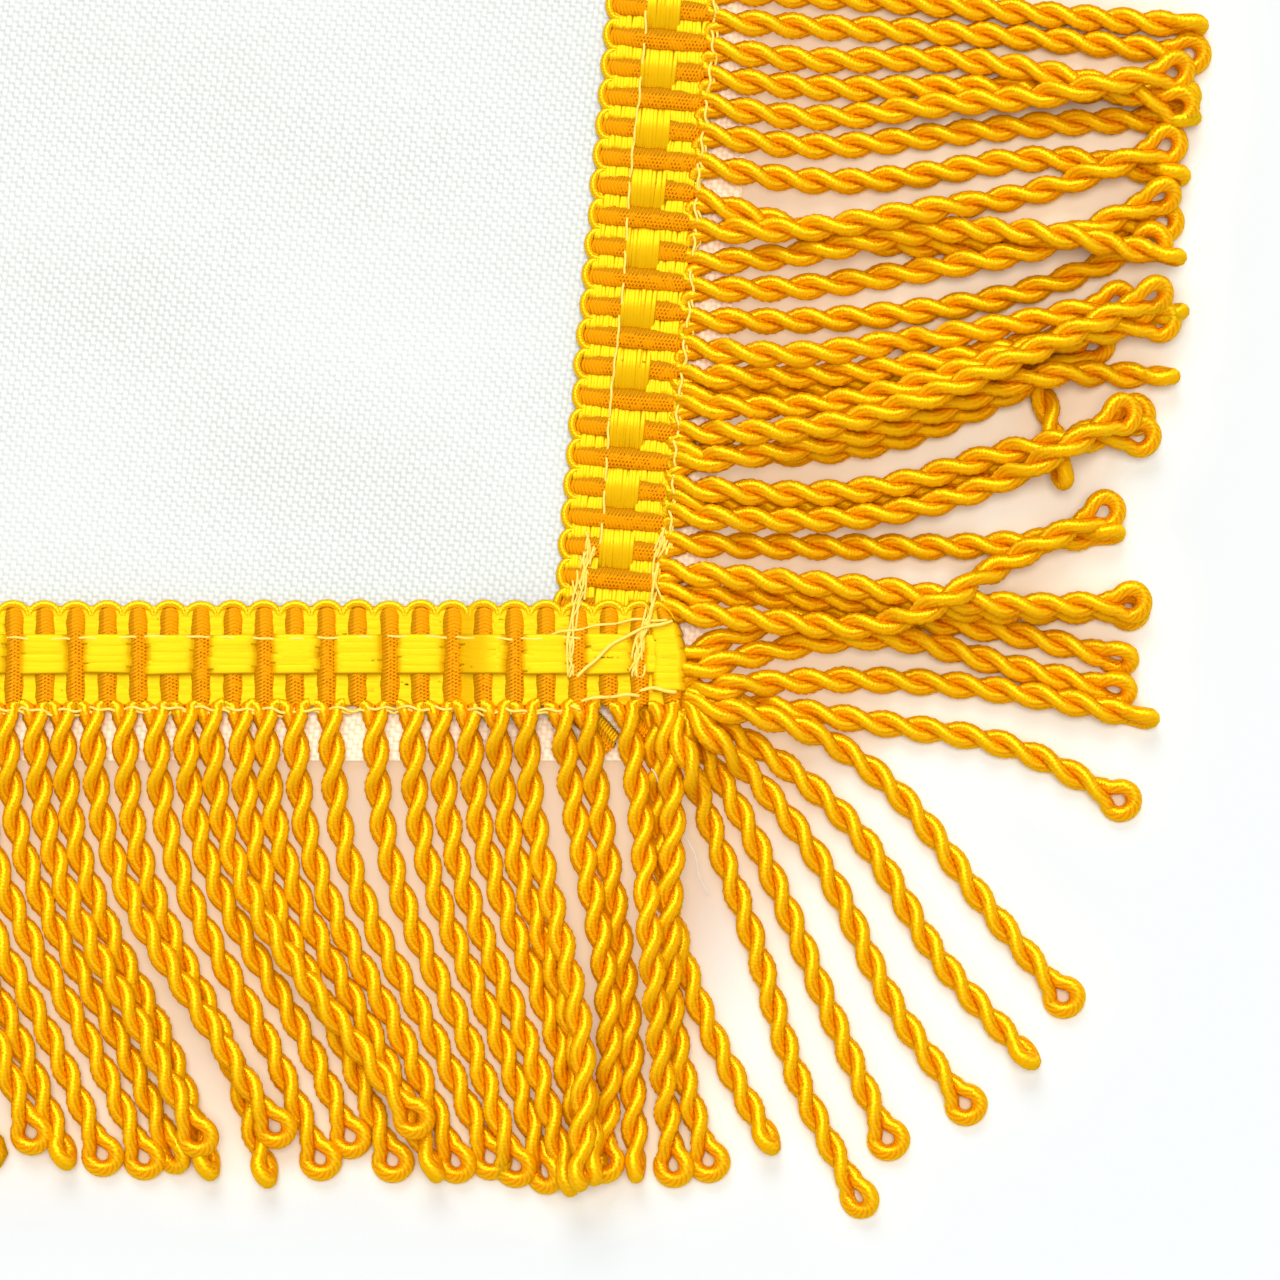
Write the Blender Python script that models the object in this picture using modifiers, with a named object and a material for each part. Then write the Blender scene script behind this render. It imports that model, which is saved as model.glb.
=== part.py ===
"""White flag with a blue canton, a red cross and gold bullion fringe, lying flat on its back.

Lengths are in metres. +X runs from the hoist to the fly, +Y up the flag and +Z up from the surface
it lies on. The origin is the middle of the whole outline, at that surface.
"""
import math

import bmesh
import bpy

# Cloth
FLAG_LENGTH = 0.914
FLAG_HEIGHT = 0.610
CLOTH_THICKNESS = 0.001
PIECE_GAP = 0.0003
SHEET_CELL = 0.040

# Ripples of the cloth where it lies loose
RIPPLE_HEIGHT = 0.0032
RIPPLE_LENGTH = 0.270
RIPPLE_BEARING = math.radians(28)
RIPPLE_MARGIN = 0.075
FLAT_BORDER = 0.020
CALM_CORNER = 0.080
CALM_FADE = 0.150

# Canton and cross
CANTON_WIDTH = 0.330
CANTON_HEIGHT = 0.300
CROSS_HEIGHT = 0.210
CROSS_SPAN = 0.140
CROSS_BAR = 0.038
CROSS_ARM_LEVEL = 0.66

# Pole sleeve
SLEEVE_WIDTH = 0.064
SLEEVE_SEAM = 0.004
SLEEVE_FLANGE = 0.009
SLEEVE_ROOM = 0.007
SLEEVE_FOLD = 0.0025
SLEEVE_STEPS = 12

# Fringe heading, the braid that the strands hang from
HEADING_WIDTH = 0.0094
HEADING_THICKNESS = 0.0012
LEDGE_BELOW = 0.0042
LEDGE_FLY = 0.0035
CORNER_RADIUS = 0.0051
END_OVERHANG = 0.0030
RAMP_LENGTH = 0.0040

# Lean of the fly edge near the photographed corner
FLY_SLOPE = math.tan(math.radians(5))
FLY_SLOPE_END = 0.065
FLY_STRAIGHT_FROM = 0.150

# Strands
STRAND_LENGTH = 0.041
STRAND_PITCH = 0.00254
STRAND_WIDTH = 0.0018
STRAND_DEPTH = 0.0019
STRANDS_PER_LOCK = 4
LOCK_SLACK = 0.0011
NEAR_BOTTOM_STRANDS = 26
NEAR_FLY_STRANDS = 27
NEAR_STATIONS = (0.12, 0.26, 0.50, 0.75, 1.0)
LOCK_STATIONS = (0.12, 0.30, 1.0)
PATH_STEPS = 40

# Strands round the photographed corner, from the lowest to the highest root, bearings in degrees
FAN_COLUMNS = ("root_bearing", "middle_bearing", "tip_bearing", "length")
FAN_STRANDS = (
    (-88, -80, -77, 0.0385),
    (-81, -75, -69, 0.0385),
    (-74, -70, -66, 0.0425),
    (-66, -64, -60, 0.0405),
    (-58, -57, -52, 0.0410),
    (-48, -50, -46, 0.0410),
    (-36, -42, -44, 0.0410),
    (-22, -22, -28, 0.0390),
    (-14, -15, -14, 0.0385),
    (-8, -9, -9, 0.0385),
    (-2, -3, -3, 0.0385),
)
# Locks round the plain upper corner, mirrored about the level
FAN_LOCKS = (
    (-84, -78, -76, 0.0405),
    (-64, -60, -58, 0.0410),
    (-44, -42, -42, 0.0410),
    (-24, -24, -26, 0.0410),
    (-8, -7, -8, 0.0400),
)
FAN_LOCK_SPREAD = 2.2
FAN_STRAND_SPREAD = 1.55

# Places worked out from the sizes
FLY_REACH = STRAND_LENGTH - LEDGE_FLY
HOIST_X = -(FLAG_LENGTH + FLY_REACH) / 2
SEAM_X = HOIST_X + SLEEVE_WIDTH
FLANGE_X = SEAM_X + SLEEVE_FLANGE
FIELD_LEFT = SEAM_X + PIECE_GAP
CLOTH_RIGHT = HOIST_X + FLAG_LENGTH
CLOTH_TOP = FLAG_HEIGHT / 2
CANTON_RIGHT = FIELD_LEFT + CANTON_WIDTH
CANTON_BOTTOM = CLOTH_TOP - CANTON_HEIGHT
HEADING_LOW = CLOTH_THICKNESS + PIECE_GAP
HEADING_LIFT = HEADING_THICKNESS + PIECE_GAP
EDGE_Y = CLOTH_TOP - LEDGE_BELOW
FLY_X = CLOTH_RIGHT - LEDGE_FLY
FLY_TAPER = FLY_SLOPE * (FLY_SLOPE_END + FLY_STRAIGHT_FROM) / 2
LOCK_PITCH = STRAND_PITCH * STRANDS_PER_LOCK
LOCK_WIDTH = LOCK_PITCH - LOCK_SLACK


def smooth_step(value):
    """Ease from 0 to 1 as value goes from 0 to 1."""
    value = min(max(value, 0.0), 1.0)
    return value * value * (3 - 2 * value)


def fly_shift(height):
    """Shift of the fly edge, 0 where it is straight and negative towards the lower corner."""
    if height >= FLY_STRAIGHT_FROM:
        return 0.0
    bend = FLY_STRAIGHT_FROM - FLY_SLOPE_END
    if height >= FLY_SLOPE_END:
        return -FLY_SLOPE * (FLY_STRAIGHT_FROM - height) ** 2 / (2 * bend)
    return -FLY_SLOPE * (bend / 2 + FLY_SLOPE_END - height)


def fly_slope(height):
    """Slope of the fly edge, sideways for each metre of height."""
    bend = FLY_STRAIGHT_FROM - FLY_SLOPE_END
    return FLY_SLOPE * min(max((FLY_STRAIGHT_FROM - height) / bend, 0.0), 1.0)


def ripple(x, y):
    """Height of the cloth's underside above the surface."""
    edge = min(x - FIELD_LEFT, CLOTH_RIGHT - x, CLOTH_TOP - y, y + CLOTH_TOP)
    corner = math.hypot(x - (FLY_X - FLY_TAPER), y + EDGE_Y)
    calm = smooth_step((edge - FLAT_BORDER) / RIPPLE_MARGIN)
    calm *= smooth_step((corner - CALM_CORNER) / CALM_FADE)
    along = x * math.cos(RIPPLE_BEARING) + y * math.sin(RIPPLE_BEARING)
    across = y * math.cos(RIPPLE_BEARING) - x * math.sin(RIPPLE_BEARING)
    turn = 2 * math.pi / RIPPLE_LENGTH
    wave = 0.5 + 0.35 * math.sin(turn * along) + 0.15 * math.sin(0.6 * turn * across + 1.0)
    return RIPPLE_HEIGHT * calm * wave


def on_cloth(x, y):
    """Place of a point of the flat cut cloth on the underside of the lying cloth."""
    middle = (CANTON_RIGHT + CLOTH_RIGHT) / 2
    share = smooth_step((x - middle) / (CLOTH_RIGHT - middle))
    return x + fly_shift(y + EDGE_Y) * share, y, ripple(x, y)


def finish(name, red, green, blue, roughness):
    """Material of one kind of cloth or yarn."""
    material = bpy.data.materials.new(name)
    material.use_nodes = True
    shader = material.node_tree.nodes["Principled BSDF"]
    shader.inputs["Base Color"].default_value = (red, green, blue, 1)
    shader.inputs["Roughness"].default_value = roughness
    return material


def add_object(name, data, material, collection):
    """Named object in the flag's collection, with its material."""
    data.materials.append(material)
    thing = bpy.data.objects.new(name, data)
    collection.objects.link(thing)
    return thing


def mesh_object(name, bm, material, collection):
    """Object from a finished bmesh."""
    mesh = bpy.data.meshes.new(name)
    bm.to_mesh(mesh)
    bm.free()
    return add_object(name, mesh, material, collection)


def lines(*stops):
    """Grid lines through the stops, with cells of about SHEET_CELL between them."""
    placed = [stops[0]]
    for start, end in zip(stops, stops[1:]):
        cells = max(1, round(abs(end - start) / SHEET_CELL))
        placed += [start + (end - start) * step / cells for step in range(1, cells + 1)]
    return placed


def sheet(name, x_lines, y_lines, lift, keep, material, collection):
    """Cloth on the lying surface, cut along grid lines to the cells that keep() wants."""
    columns = len(x_lines) - 1
    rows = len(y_lines) - 1
    bm = bmesh.new()
    bmesh.ops.create_grid(bm, x_segments=columns, y_segments=rows, size=0.5)
    for vert in bm.verts:
        vert.co.x = x_lines[round((vert.co.x + 0.5) * columns)]
        vert.co.y = y_lines[round((vert.co.y + 0.5) * rows)]
    spare = [face for face in bm.faces if not keep(*face.calc_center_median().xy)]
    bmesh.ops.delete(bm, geom=spare, context="FACES")
    bmesh.ops.triangulate(bm, faces=bm.faces, quad_method="FIXED")
    for vert in bm.verts:
        x, y, z = on_cloth(vert.co.x, vert.co.y)
        vert.co = (x, y, z + lift)
    piece = mesh_object(name, bm, material, collection)
    layer = piece.modifiers.new("Cloth thickness", "SOLIDIFY")
    layer.thickness = CLOTH_THICKNESS
    layer.offset = 1.0
    return piece


def cross_stops():
    """Stops of the cross across the canton, and up it."""
    middle = (FIELD_LEFT + CANTON_RIGHT) / 2
    foot = (CANTON_BOTTOM + CLOTH_TOP - HEADING_WIDTH - LEDGE_BELOW - CROSS_HEIGHT) / 2
    arm = foot + CROSS_HEIGHT * CROSS_ARM_LEVEL
    half = CROSS_BAR / 2
    across = (middle - CROSS_SPAN / 2, middle - half, middle + half, middle + CROSS_SPAN / 2)
    return across, (foot, arm - half, arm + half, foot + CROSS_HEIGHT)


def add_field(material, collection):
    """White field, cut out where the canton is let in."""
    notch_x = CANTON_RIGHT + PIECE_GAP / 2
    notch_y = CANTON_BOTTOM - PIECE_GAP / 2

    def outside_canton(x, y):
        return x > notch_x or y < notch_y

    x_lines = lines(FIELD_LEFT, FIELD_LEFT + FLAT_BORDER, notch_x, CLOTH_RIGHT - FLAT_BORDER, CLOTH_RIGHT)
    y_lines = lines(-CLOTH_TOP, FLAT_BORDER - CLOTH_TOP, notch_y, CLOTH_TOP - FLAT_BORDER, CLOTH_TOP)
    return sheet("field", x_lines, y_lines, 0.0, outside_canton, material, collection)


def add_canton(material, collection):
    """Blue canton in the upper hoist corner, its grid lines shared with the cross."""
    across, up = cross_stops()
    x_lines = lines(FIELD_LEFT, FIELD_LEFT + FLAT_BORDER, *across, CANTON_RIGHT - PIECE_GAP / 2)
    y_lines = lines(CANTON_BOTTOM + PIECE_GAP / 2, *up, CLOTH_TOP - FLAT_BORDER, CLOTH_TOP)
    return sheet("canton", x_lines, y_lines, 0.0, lambda x, y: True, material, collection)


def add_cross(material, collection):
    """Red Latin cross laid on the canton."""
    across, up = cross_stops()

    def in_cross(x, y):
        return across[1] < x < across[2] or up[1] < y < up[2]

    lift = CLOTH_THICKNESS + PIECE_GAP
    return sheet("cross", lines(*across), lines(*up), lift, in_cross, material, collection)


def add_sleeve(material, collection):
    """Flattened pole sleeve: a closed profile with a lens-shaped hollow, run along the hoist."""
    hollow_left = HOIST_X + CLOTH_THICKNESS
    hollow_right = SEAM_X - SLEEVE_SEAM
    flange_top = HEADING_LOW + CLOTH_THICKNESS
    crown = []
    for step in range(SLEEVE_STEPS + 1):
        share = step / SLEEVE_STEPS
        room = SLEEVE_ROOM * math.sin(math.pi * share) ** 0.8
        across = hollow_left + (hollow_right - hollow_left) * share
        crown.append((across, CLOTH_THICKNESS + room + PIECE_GAP * share))
    outer = [(HOIST_X + SLEEVE_FOLD, 0.0), (SEAM_X, 0.0), (SEAM_X, HEADING_LOW)]
    outer += [(FLANGE_X, HEADING_LOW), (FLANGE_X, flange_top), (SEAM_X, flange_top)]
    outer += [(x, z + CLOTH_THICKNESS) for x, z in reversed(crown[1:-1])]
    outer += [(HOIST_X, CLOTH_THICKNESS * 1.6), (HOIST_X, CLOTH_THICKNESS * 0.6)]
    inner = [(hollow_left + SLEEVE_FOLD / 2, CLOTH_THICKNESS)] + crown[1:-1]
    inner.append((hollow_right, CLOTH_THICKNESS))

    curve = bpy.data.curves.new("pole_sleeve", "CURVE")
    curve.dimensions = "2D"
    curve.fill_mode = "BOTH"
    curve.extrude = CLOTH_TOP
    for outline in (outer, inner):
        spline = curve.splines.new("POLY")
        spline.points.add(len(outline) - 1)
        for point, (x, z) in zip(spline.points, outline):
            point.co = (x, z, 0, 1)
        spline.use_cyclic_u = True
    sleeve = add_object("pole_sleeve", curve, material, collection)
    sleeve.rotation_euler.x = math.pi / 2
    return sleeve


def turn_outwards(bm):
    """Turn the faces of a closed body outwards."""
    bmesh.ops.recalc_face_normals(bm, faces=bm.faces)
    if bm.calc_volume(signed=True) < 0:
        bmesh.ops.reverse_faces(bm, faces=bm.faces)


def section(outer, inner, lift=0.0):
    """Corners of the heading's cross-section, by their roles."""
    low = HEADING_LOW + lift
    high = low + HEADING_THICKNESS
    return {
        ("outer", "low"): (*outer, low),
        ("outer", "high"): (*outer, high),
        ("inner", "high"): (*inner, high),
        ("inner", "low"): (*inner, low),
    }


def extrude_to(bm, face, corners, places):
    """Extrude one face and put each new corner at the place of its role."""
    grown = bmesh.ops.extrude_discrete_faces(bm, faces=[face])["faces"][0]
    moved = {}
    for vert in grown.verts:
        role = min(corners, key=lambda name: (corners[name].co - vert.co).length_squared)
        moved[role] = vert
    for role, vert in moved.items():
        vert.co = places[role]
    return grown, moved


def band(bm, sections):
    """Heading through its sections. Returns the outer wall of each stretch, with its corners."""
    first = {}
    second = {}
    for vert in bmesh.ops.create_cube(bm, size=1.0)["verts"]:
        role = ("outer" if vert.co.y < 0 else "inner", "low" if vert.co.z < 0 else "high")
        ring = first if vert.co.x < 0 else second
        ring[role] = vert
    for ring, places in ((first, sections[0]), (second, sections[1])):
        for role, vert in ring.items():
            vert.co = places[role]
    rings = [first, second]
    front = next(face for face in bm.faces if set(face.verts) == set(second.values()))
    for places in sections[2:]:
        front, ring = extrude_to(bm, front, rings[-1], places)
        rings.append(ring)
    walls = []
    for near, far in zip(rings, rings[1:]):
        corners = {}
        for level in ("low", "high"):
            corners["near", level] = near["outer", level]
            corners["far", level] = far["outer", level]
        wanted = set(corners.values())
        wall = next(face for face in near["outer", "low"].link_faces if set(face.verts) == wanted)
        walls.append((wall, corners))
    return walls


def strand_path(root, bearings, length, stations):
    """Points and bearings at the stations of a strand whose bearing changes as a parabola."""
    start, middle, tip = (math.radians(value) for value in bearings)
    x, y = root
    path = []
    for step in range(1, PATH_STEPS + 1):
        share = (step - 0.5) / PATH_STEPS
        bearing = start * (1 - share) * (1 - 2 * share)
        bearing += middle * 4 * share * (1 - share)
        bearing += tip * share * (2 * share - 1)
        x += length / PATH_STEPS * math.cos(bearing)
        y += length / PATH_STEPS * math.sin(bearing)
        path.append((x, y, bearing))
    return [path[round(station * PATH_STEPS) - 1] for station in stations]


def grow_strand(bm, wall, bearings, length, widths, stations):
    """Strand out of one stretch of the heading's wall, over the cloth's edge and down to the surface."""
    face, corners = wall
    near = corners["near", "low"].co
    far = corners["far", "low"].co
    root = (near + far) / 2
    points = strand_path(root.xy, bearings, length, stations)
    for index, (x, y, bearing) in enumerate(points):
        side_x, side_y = -math.sin(bearing), math.cos(bearing)
        if side_x * (far.x - near.x) + side_y * (far.y - near.y) < 0:
            side_x, side_y = -side_x, -side_y
        half = widths[0 if index == 0 else 1] / 2
        low = HEADING_LOW if index == 0 else 0.0
        places = {}
        for side, sign in (("near", -half), ("far", half)):
            for level, z in (("low", low), ("high", low + STRAND_DEPTH)):
                places[side, level] = (x + sign * side_x, y + sign * side_y, z)
        face, corners = extrude_to(bm, face, corners, places)
        near = corners["near", "low"].co
        far = corners["far", "low"].co


def edge_stops(near_count, near_from, end):
    """Places of the strands' borders from near_from to end: single strands first, then locks."""
    stops = [near_from + STRAND_PITCH * index for index in range(near_count + 1)]
    locks = round((end - stops[-1]) / LOCK_PITCH)
    pitch = (end - stops[-1]) / locks
    return stops + [stops[-1] + pitch * (index + 1) for index in range(locks)]


def rounded_end(corner_x, count):
    """Outer points round the heading's free end and up to its inner edge, with the shared inner point."""
    centre_y = -EDGE_Y + CORNER_RADIUS
    start_x = corner_x + END_OVERHANG - CORNER_RADIUS
    arc = CORNER_RADIUS * math.pi / 2
    total = arc + HEADING_WIDTH - CORNER_RADIUS
    points = []
    for index in range(1, count + 1):
        run = total * index / count
        if run < arc:
            angle = run / CORNER_RADIUS
            points.append(
                (start_x + CORNER_RADIUS * math.sin(angle), centre_y - CORNER_RADIUS * math.cos(angle))
            )
        else:
            points.append((corner_x + END_OVERHANG, centre_y + run - arc))
    return points, (start_x, -EDGE_Y + HEADING_WIDTH)


def bottom_lean(distance):
    """Share of the full lean of the bottom strands, by their distance from the corner."""
    towards_corner = 0.45 + 0.55 * smooth_step(distance / 0.075)
    away = 1 - 0.75 * smooth_step((distance - 0.075) / 0.30)
    sway = 0.08 * math.sin(distance / 0.045) * smooth_step((distance - 0.15) / 0.2)
    return towards_corner * away + sway


def top_lean(distance):
    """Share of the full lean of the top strands, by their distance from the corner."""
    return 0.12 + 0.10 * math.sin(distance / 0.055)


def fly_lean(height):
    """Lean of the fly strands in degrees, by their height above the corner."""
    raised = 9 * smooth_step((height - 0.010) / 0.015)
    settled = -8 * smooth_step((height - 0.025) / 0.050)
    sway = 1.2 * math.sin(height / 0.040) * smooth_step((height - 0.075) / 0.1)
    return raised + settled + sway


def level_heading(name, near_count, corner_x, lean_at, fan, spread, mirror, material, collection):
    """Fringe along the bottom, or mirrored along the top, with its rounded end over the fly fringe."""
    end_x = corner_x + END_OVERHANG - CORNER_RADIUS
    start_x = FLANGE_X + PIECE_GAP
    distances = edge_stops(near_count, 0.0, end_x - start_x)[::-1]
    ramp_start = corner_x - HEADING_WIDTH - 2 * RAMP_LENGTH
    sections = []
    for distance in distances:
        x = end_x - distance
        lift = HEADING_LIFT * min(max((x - ramp_start) / RAMP_LENGTH, 0.0), 1.0)
        sections.append(section((x, -EDGE_Y), (x, -EDGE_Y + HEADING_WIDTH), lift))
    outer_points, inner = rounded_end(corner_x, len(fan))
    sections += [section(outer, inner, HEADING_LIFT) for outer in outer_points]

    bm = bmesh.new()
    walls = band(bm, sections)
    straight = len(distances) - 1
    for index, wall in enumerate(walls[:straight]):
        middle = (distances[index] + distances[index + 1]) / 2
        lean = lean_at(middle)
        bearings = (-90 + 2 * lean, -90 + 22 * lean, -90 + 8 * lean)
        single = index >= straight - near_count
        length = STRAND_LENGTH * (1 + 0.015 * math.sin(middle / 0.0171))
        if single:
            grow_strand(bm, wall, bearings, length, (STRAND_WIDTH, STRAND_WIDTH), NEAR_STATIONS)
        else:
            grow_strand(bm, wall, bearings, length, (LOCK_WIDTH, LOCK_WIDTH), LOCK_STATIONS)
    for wall, row in zip(walls[straight:], fan):
        named = dict(zip(FAN_COLUMNS, row))
        bearings = (named["root_bearing"], named["middle_bearing"], named["tip_bearing"])
        _, corners = wall
        root_width = (corners["near", "low"].co - corners["far", "low"].co).length
        stations = NEAR_STATIONS if near_count else LOCK_STATIONS
        grow_strand(bm, wall, bearings, named["length"], (root_width, root_width * spread), stations)
    bmesh.ops.remove_doubles(bm, verts=bm.verts, dist=0.00001)
    if mirror:
        for vert in bm.verts:
            vert.co.y = -vert.co.y
    turn_outwards(bm)
    return mesh_object(name, bm, material, collection)


def add_fringe_bottom(material, collection):
    """Bottom fringe, whose rounded end is the photographed corner."""
    return level_heading(
        "fringe_bottom", NEAR_BOTTOM_STRANDS, FLY_X - FLY_TAPER, bottom_lean, FAN_STRANDS,
        FAN_STRAND_SPREAD, False, material, collection,
    )


def add_fringe_top(material, collection):
    """Top fringe, in locks, with a plain rounded end."""
    return level_heading(
        "fringe_top", 0, FLY_X, top_lean, FAN_LOCKS, FAN_LOCK_SPREAD, True, material, collection
    )


def add_fringe_fly(material, collection):
    """Fly fringe, whose two ends lie under the bottom and the top headings."""
    free_from = HEADING_WIDTH + PIECE_GAP
    free_to = 2 * EDGE_Y - free_from
    stops = edge_stops(NEAR_FLY_STRANDS, free_from, free_to)
    heights = [HEADING_THICKNESS] + stops + [2 * EDGE_Y - HEADING_THICKNESS]
    sections = []
    for height in heights:
        slope = fly_slope(height)
        stretch = math.hypot(1, slope)
        x = FLY_X + fly_shift(height)
        y = height - EDGE_Y
        inner = (x - HEADING_WIDTH / stretch, y + HEADING_WIDTH * slope / stretch)
        sections.append(section((x, y), inner))

    bm = bmesh.new()
    walls = band(bm, sections)
    for index, wall in enumerate(walls[1:-1]):
        middle = (stops[index] + stops[index + 1]) / 2
        lean = fly_lean(middle)
        droop = 3 * smooth_step((middle - 0.010) / 0.020)
        bearings = (0.4 * lean - droop, lean, 1.25 * lean)
        length = STRAND_LENGTH * (1 + 0.015 * math.sin(middle / 0.0163))
        if index < NEAR_FLY_STRANDS:
            grow_strand(bm, wall, bearings, length, (STRAND_WIDTH, STRAND_WIDTH), NEAR_STATIONS)
        else:
            grow_strand(bm, wall, bearings, length, (LOCK_WIDTH, LOCK_WIDTH), LOCK_STATIONS)
    turn_outwards(bm)
    return mesh_object("fringe_fly", bm, material, collection)


def main():
    """Empty the scene and build the flag."""
    for thing in list(bpy.data.objects):
        bpy.data.objects.remove(thing)
    flag = bpy.data.collections.new("fringed_flag")
    bpy.context.scene.collection.children.link(flag)
    white = finish("White nylon", 0.90, 0.93, 0.92, 0.6)
    blue = finish("Blue nylon", 0.02, 0.06, 0.30, 0.6)
    red = finish("Red nylon", 0.55, 0.02, 0.03, 0.6)
    gold = finish("Gold rayon", 0.95, 0.55, 0.02, 0.4)
    add_field(white, flag)
    add_canton(blue, flag)
    add_cross(red, flag)
    add_sleeve(white, flag)
    add_fringe_bottom(gold, flag)
    add_fringe_fly(gold, flag)
    add_fringe_top(gold, flag)


if __name__ == "__main__":
    main()
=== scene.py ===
"""Looks of a white flag with a blue canton, a red cross and twisted gold fringe, lying on its back.

Lengths are in metres, in the frame's own axes: +X from the hoist to the fly, +Y up the flag, +Z up
from the floor. The camera looks straight down on the lower fly corner.
"""
from __future__ import annotations

import logging
import math
from dataclasses import dataclass
from enum import Enum
from functools import reduce
from typing import Callable, Sequence

import bpy
import numpy as np
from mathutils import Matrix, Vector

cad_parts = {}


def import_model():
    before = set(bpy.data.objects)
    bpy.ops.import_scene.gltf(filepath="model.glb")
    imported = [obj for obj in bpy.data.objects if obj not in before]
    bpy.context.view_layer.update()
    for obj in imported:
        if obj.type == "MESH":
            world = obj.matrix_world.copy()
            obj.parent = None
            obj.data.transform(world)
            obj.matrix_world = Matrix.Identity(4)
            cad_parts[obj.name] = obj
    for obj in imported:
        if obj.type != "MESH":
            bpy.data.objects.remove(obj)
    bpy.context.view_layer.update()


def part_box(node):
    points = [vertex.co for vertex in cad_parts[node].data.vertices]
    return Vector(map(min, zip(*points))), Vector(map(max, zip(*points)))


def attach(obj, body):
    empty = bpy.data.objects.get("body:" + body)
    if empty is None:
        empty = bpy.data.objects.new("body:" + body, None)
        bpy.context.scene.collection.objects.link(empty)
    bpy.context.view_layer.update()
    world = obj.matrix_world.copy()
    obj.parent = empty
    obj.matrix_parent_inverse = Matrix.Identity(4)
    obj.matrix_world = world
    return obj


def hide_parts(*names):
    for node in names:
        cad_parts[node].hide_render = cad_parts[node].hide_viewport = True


LOG = logging.getLogger("fringed_flag")
MM = 0.001
BODY = "root"
UV_NAME = "UVMap"
UNDER_FRINGE = "under_fringe"
ZERO = (0.0, 0.0, 0.0)

# The photo's frame: its width, and one of its pixels on the flag
PHOTO_WIDTH_PX = 1280
PHOTO_PX = 0.0254 / 300
CORNER_PX = (655, 711)

# Sizes shared with the solids
LEDGE_BELOW = 4.2 * MM
LEDGE_FLY = 3.5 * MM
HEADING_WIDTH = 9.4 * MM
HEADING_LOW = 1.3 * MM
HEADING_LIFT = 1.5 * MM
RAMP_LENGTH = 4.0 * MM
END_OVERHANG = 3.0 * MM
FLY_SLOPE = math.tan(math.radians(5))
FLY_SLOPE_END = 65 * MM
FLY_STRAIGHT_FROM = 150 * MM
SLEEVE_FLANGE = 9 * MM
CROSS_BAR = 38 * MM
CROSS_ARM_SHARE = 0.66
FLAT_BORDER = 20 * MM
RIPPLE_HEIGHT = 3.2 * MM
RIPPLE_LENGTH = 270 * MM
RIPPLE_BEARING = math.radians(28)
RIPPLE_MARGIN = 75 * MM
CALM_CORNER = 80 * MM
CALM_FADE = 150 * MM

# Twisted cord of the fringe
STRAND_PITCH = 2.54 * MM
PLY_RADIUS = 0.64 * MM
PLY_OFFSET = 0.56 * MM
STRAND_RADIUS = PLY_RADIUS + PLY_OFFSET
FULL_TURN = 6.5 * MM
LOOP_LENGTH = 2.40 * MM
LOOP_RADIUS = 1.18 * MM

Array = np.ndarray
ALONG, ACROSS, ABOVE = np.eye(3)


def smooth_step(value: Array | float) -> Array:
    """Ease from 0 to 1 as value goes from 0 to 1."""
    value = np.clip(value, 0.0, 1.0)
    return value * value * (3 - 2 * value)


def unit(vectors: Array) -> Array:
    """Vectors of length 1 along the last axis."""
    return vectors / np.maximum(np.linalg.norm(vectors, axis=-1, keepdims=True), 1e-12)


def points_at(*numbers: Array | float) -> Array:
    """Points from their coordinates, which are first spread to one shape."""
    return np.stack(np.broadcast_arrays(*numbers), axis=-1)


def run_up(steps: Array) -> Array:
    """Lengths run up to each place along the last axis, from the steps between the places."""
    return np.concatenate([np.zeros_like(steps[..., :1]), np.cumsum(steps, axis=-1)], axis=-1)


def gaussian(places: Array, width: float) -> Array:
    """Weights exp(-0.5 * (distance / width) ** 2) between places, each row summing to 1."""
    spread = np.exp(-0.5 * ((places[:, None] - places[None]) / width) ** 2)
    return spread / spread.sum(axis=1, keepdims=True)


class Detail(Enum):
    """How finely a stretch of the fringe is made: the photographed corner, or the rest."""

    CORNER = "corner"
    REST = "rest"


class Side(Enum):
    """Edge of the flag that carries fringe."""

    BOTTOM = "bottom"
    FLY = "fly"
    TOP = "top"


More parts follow.
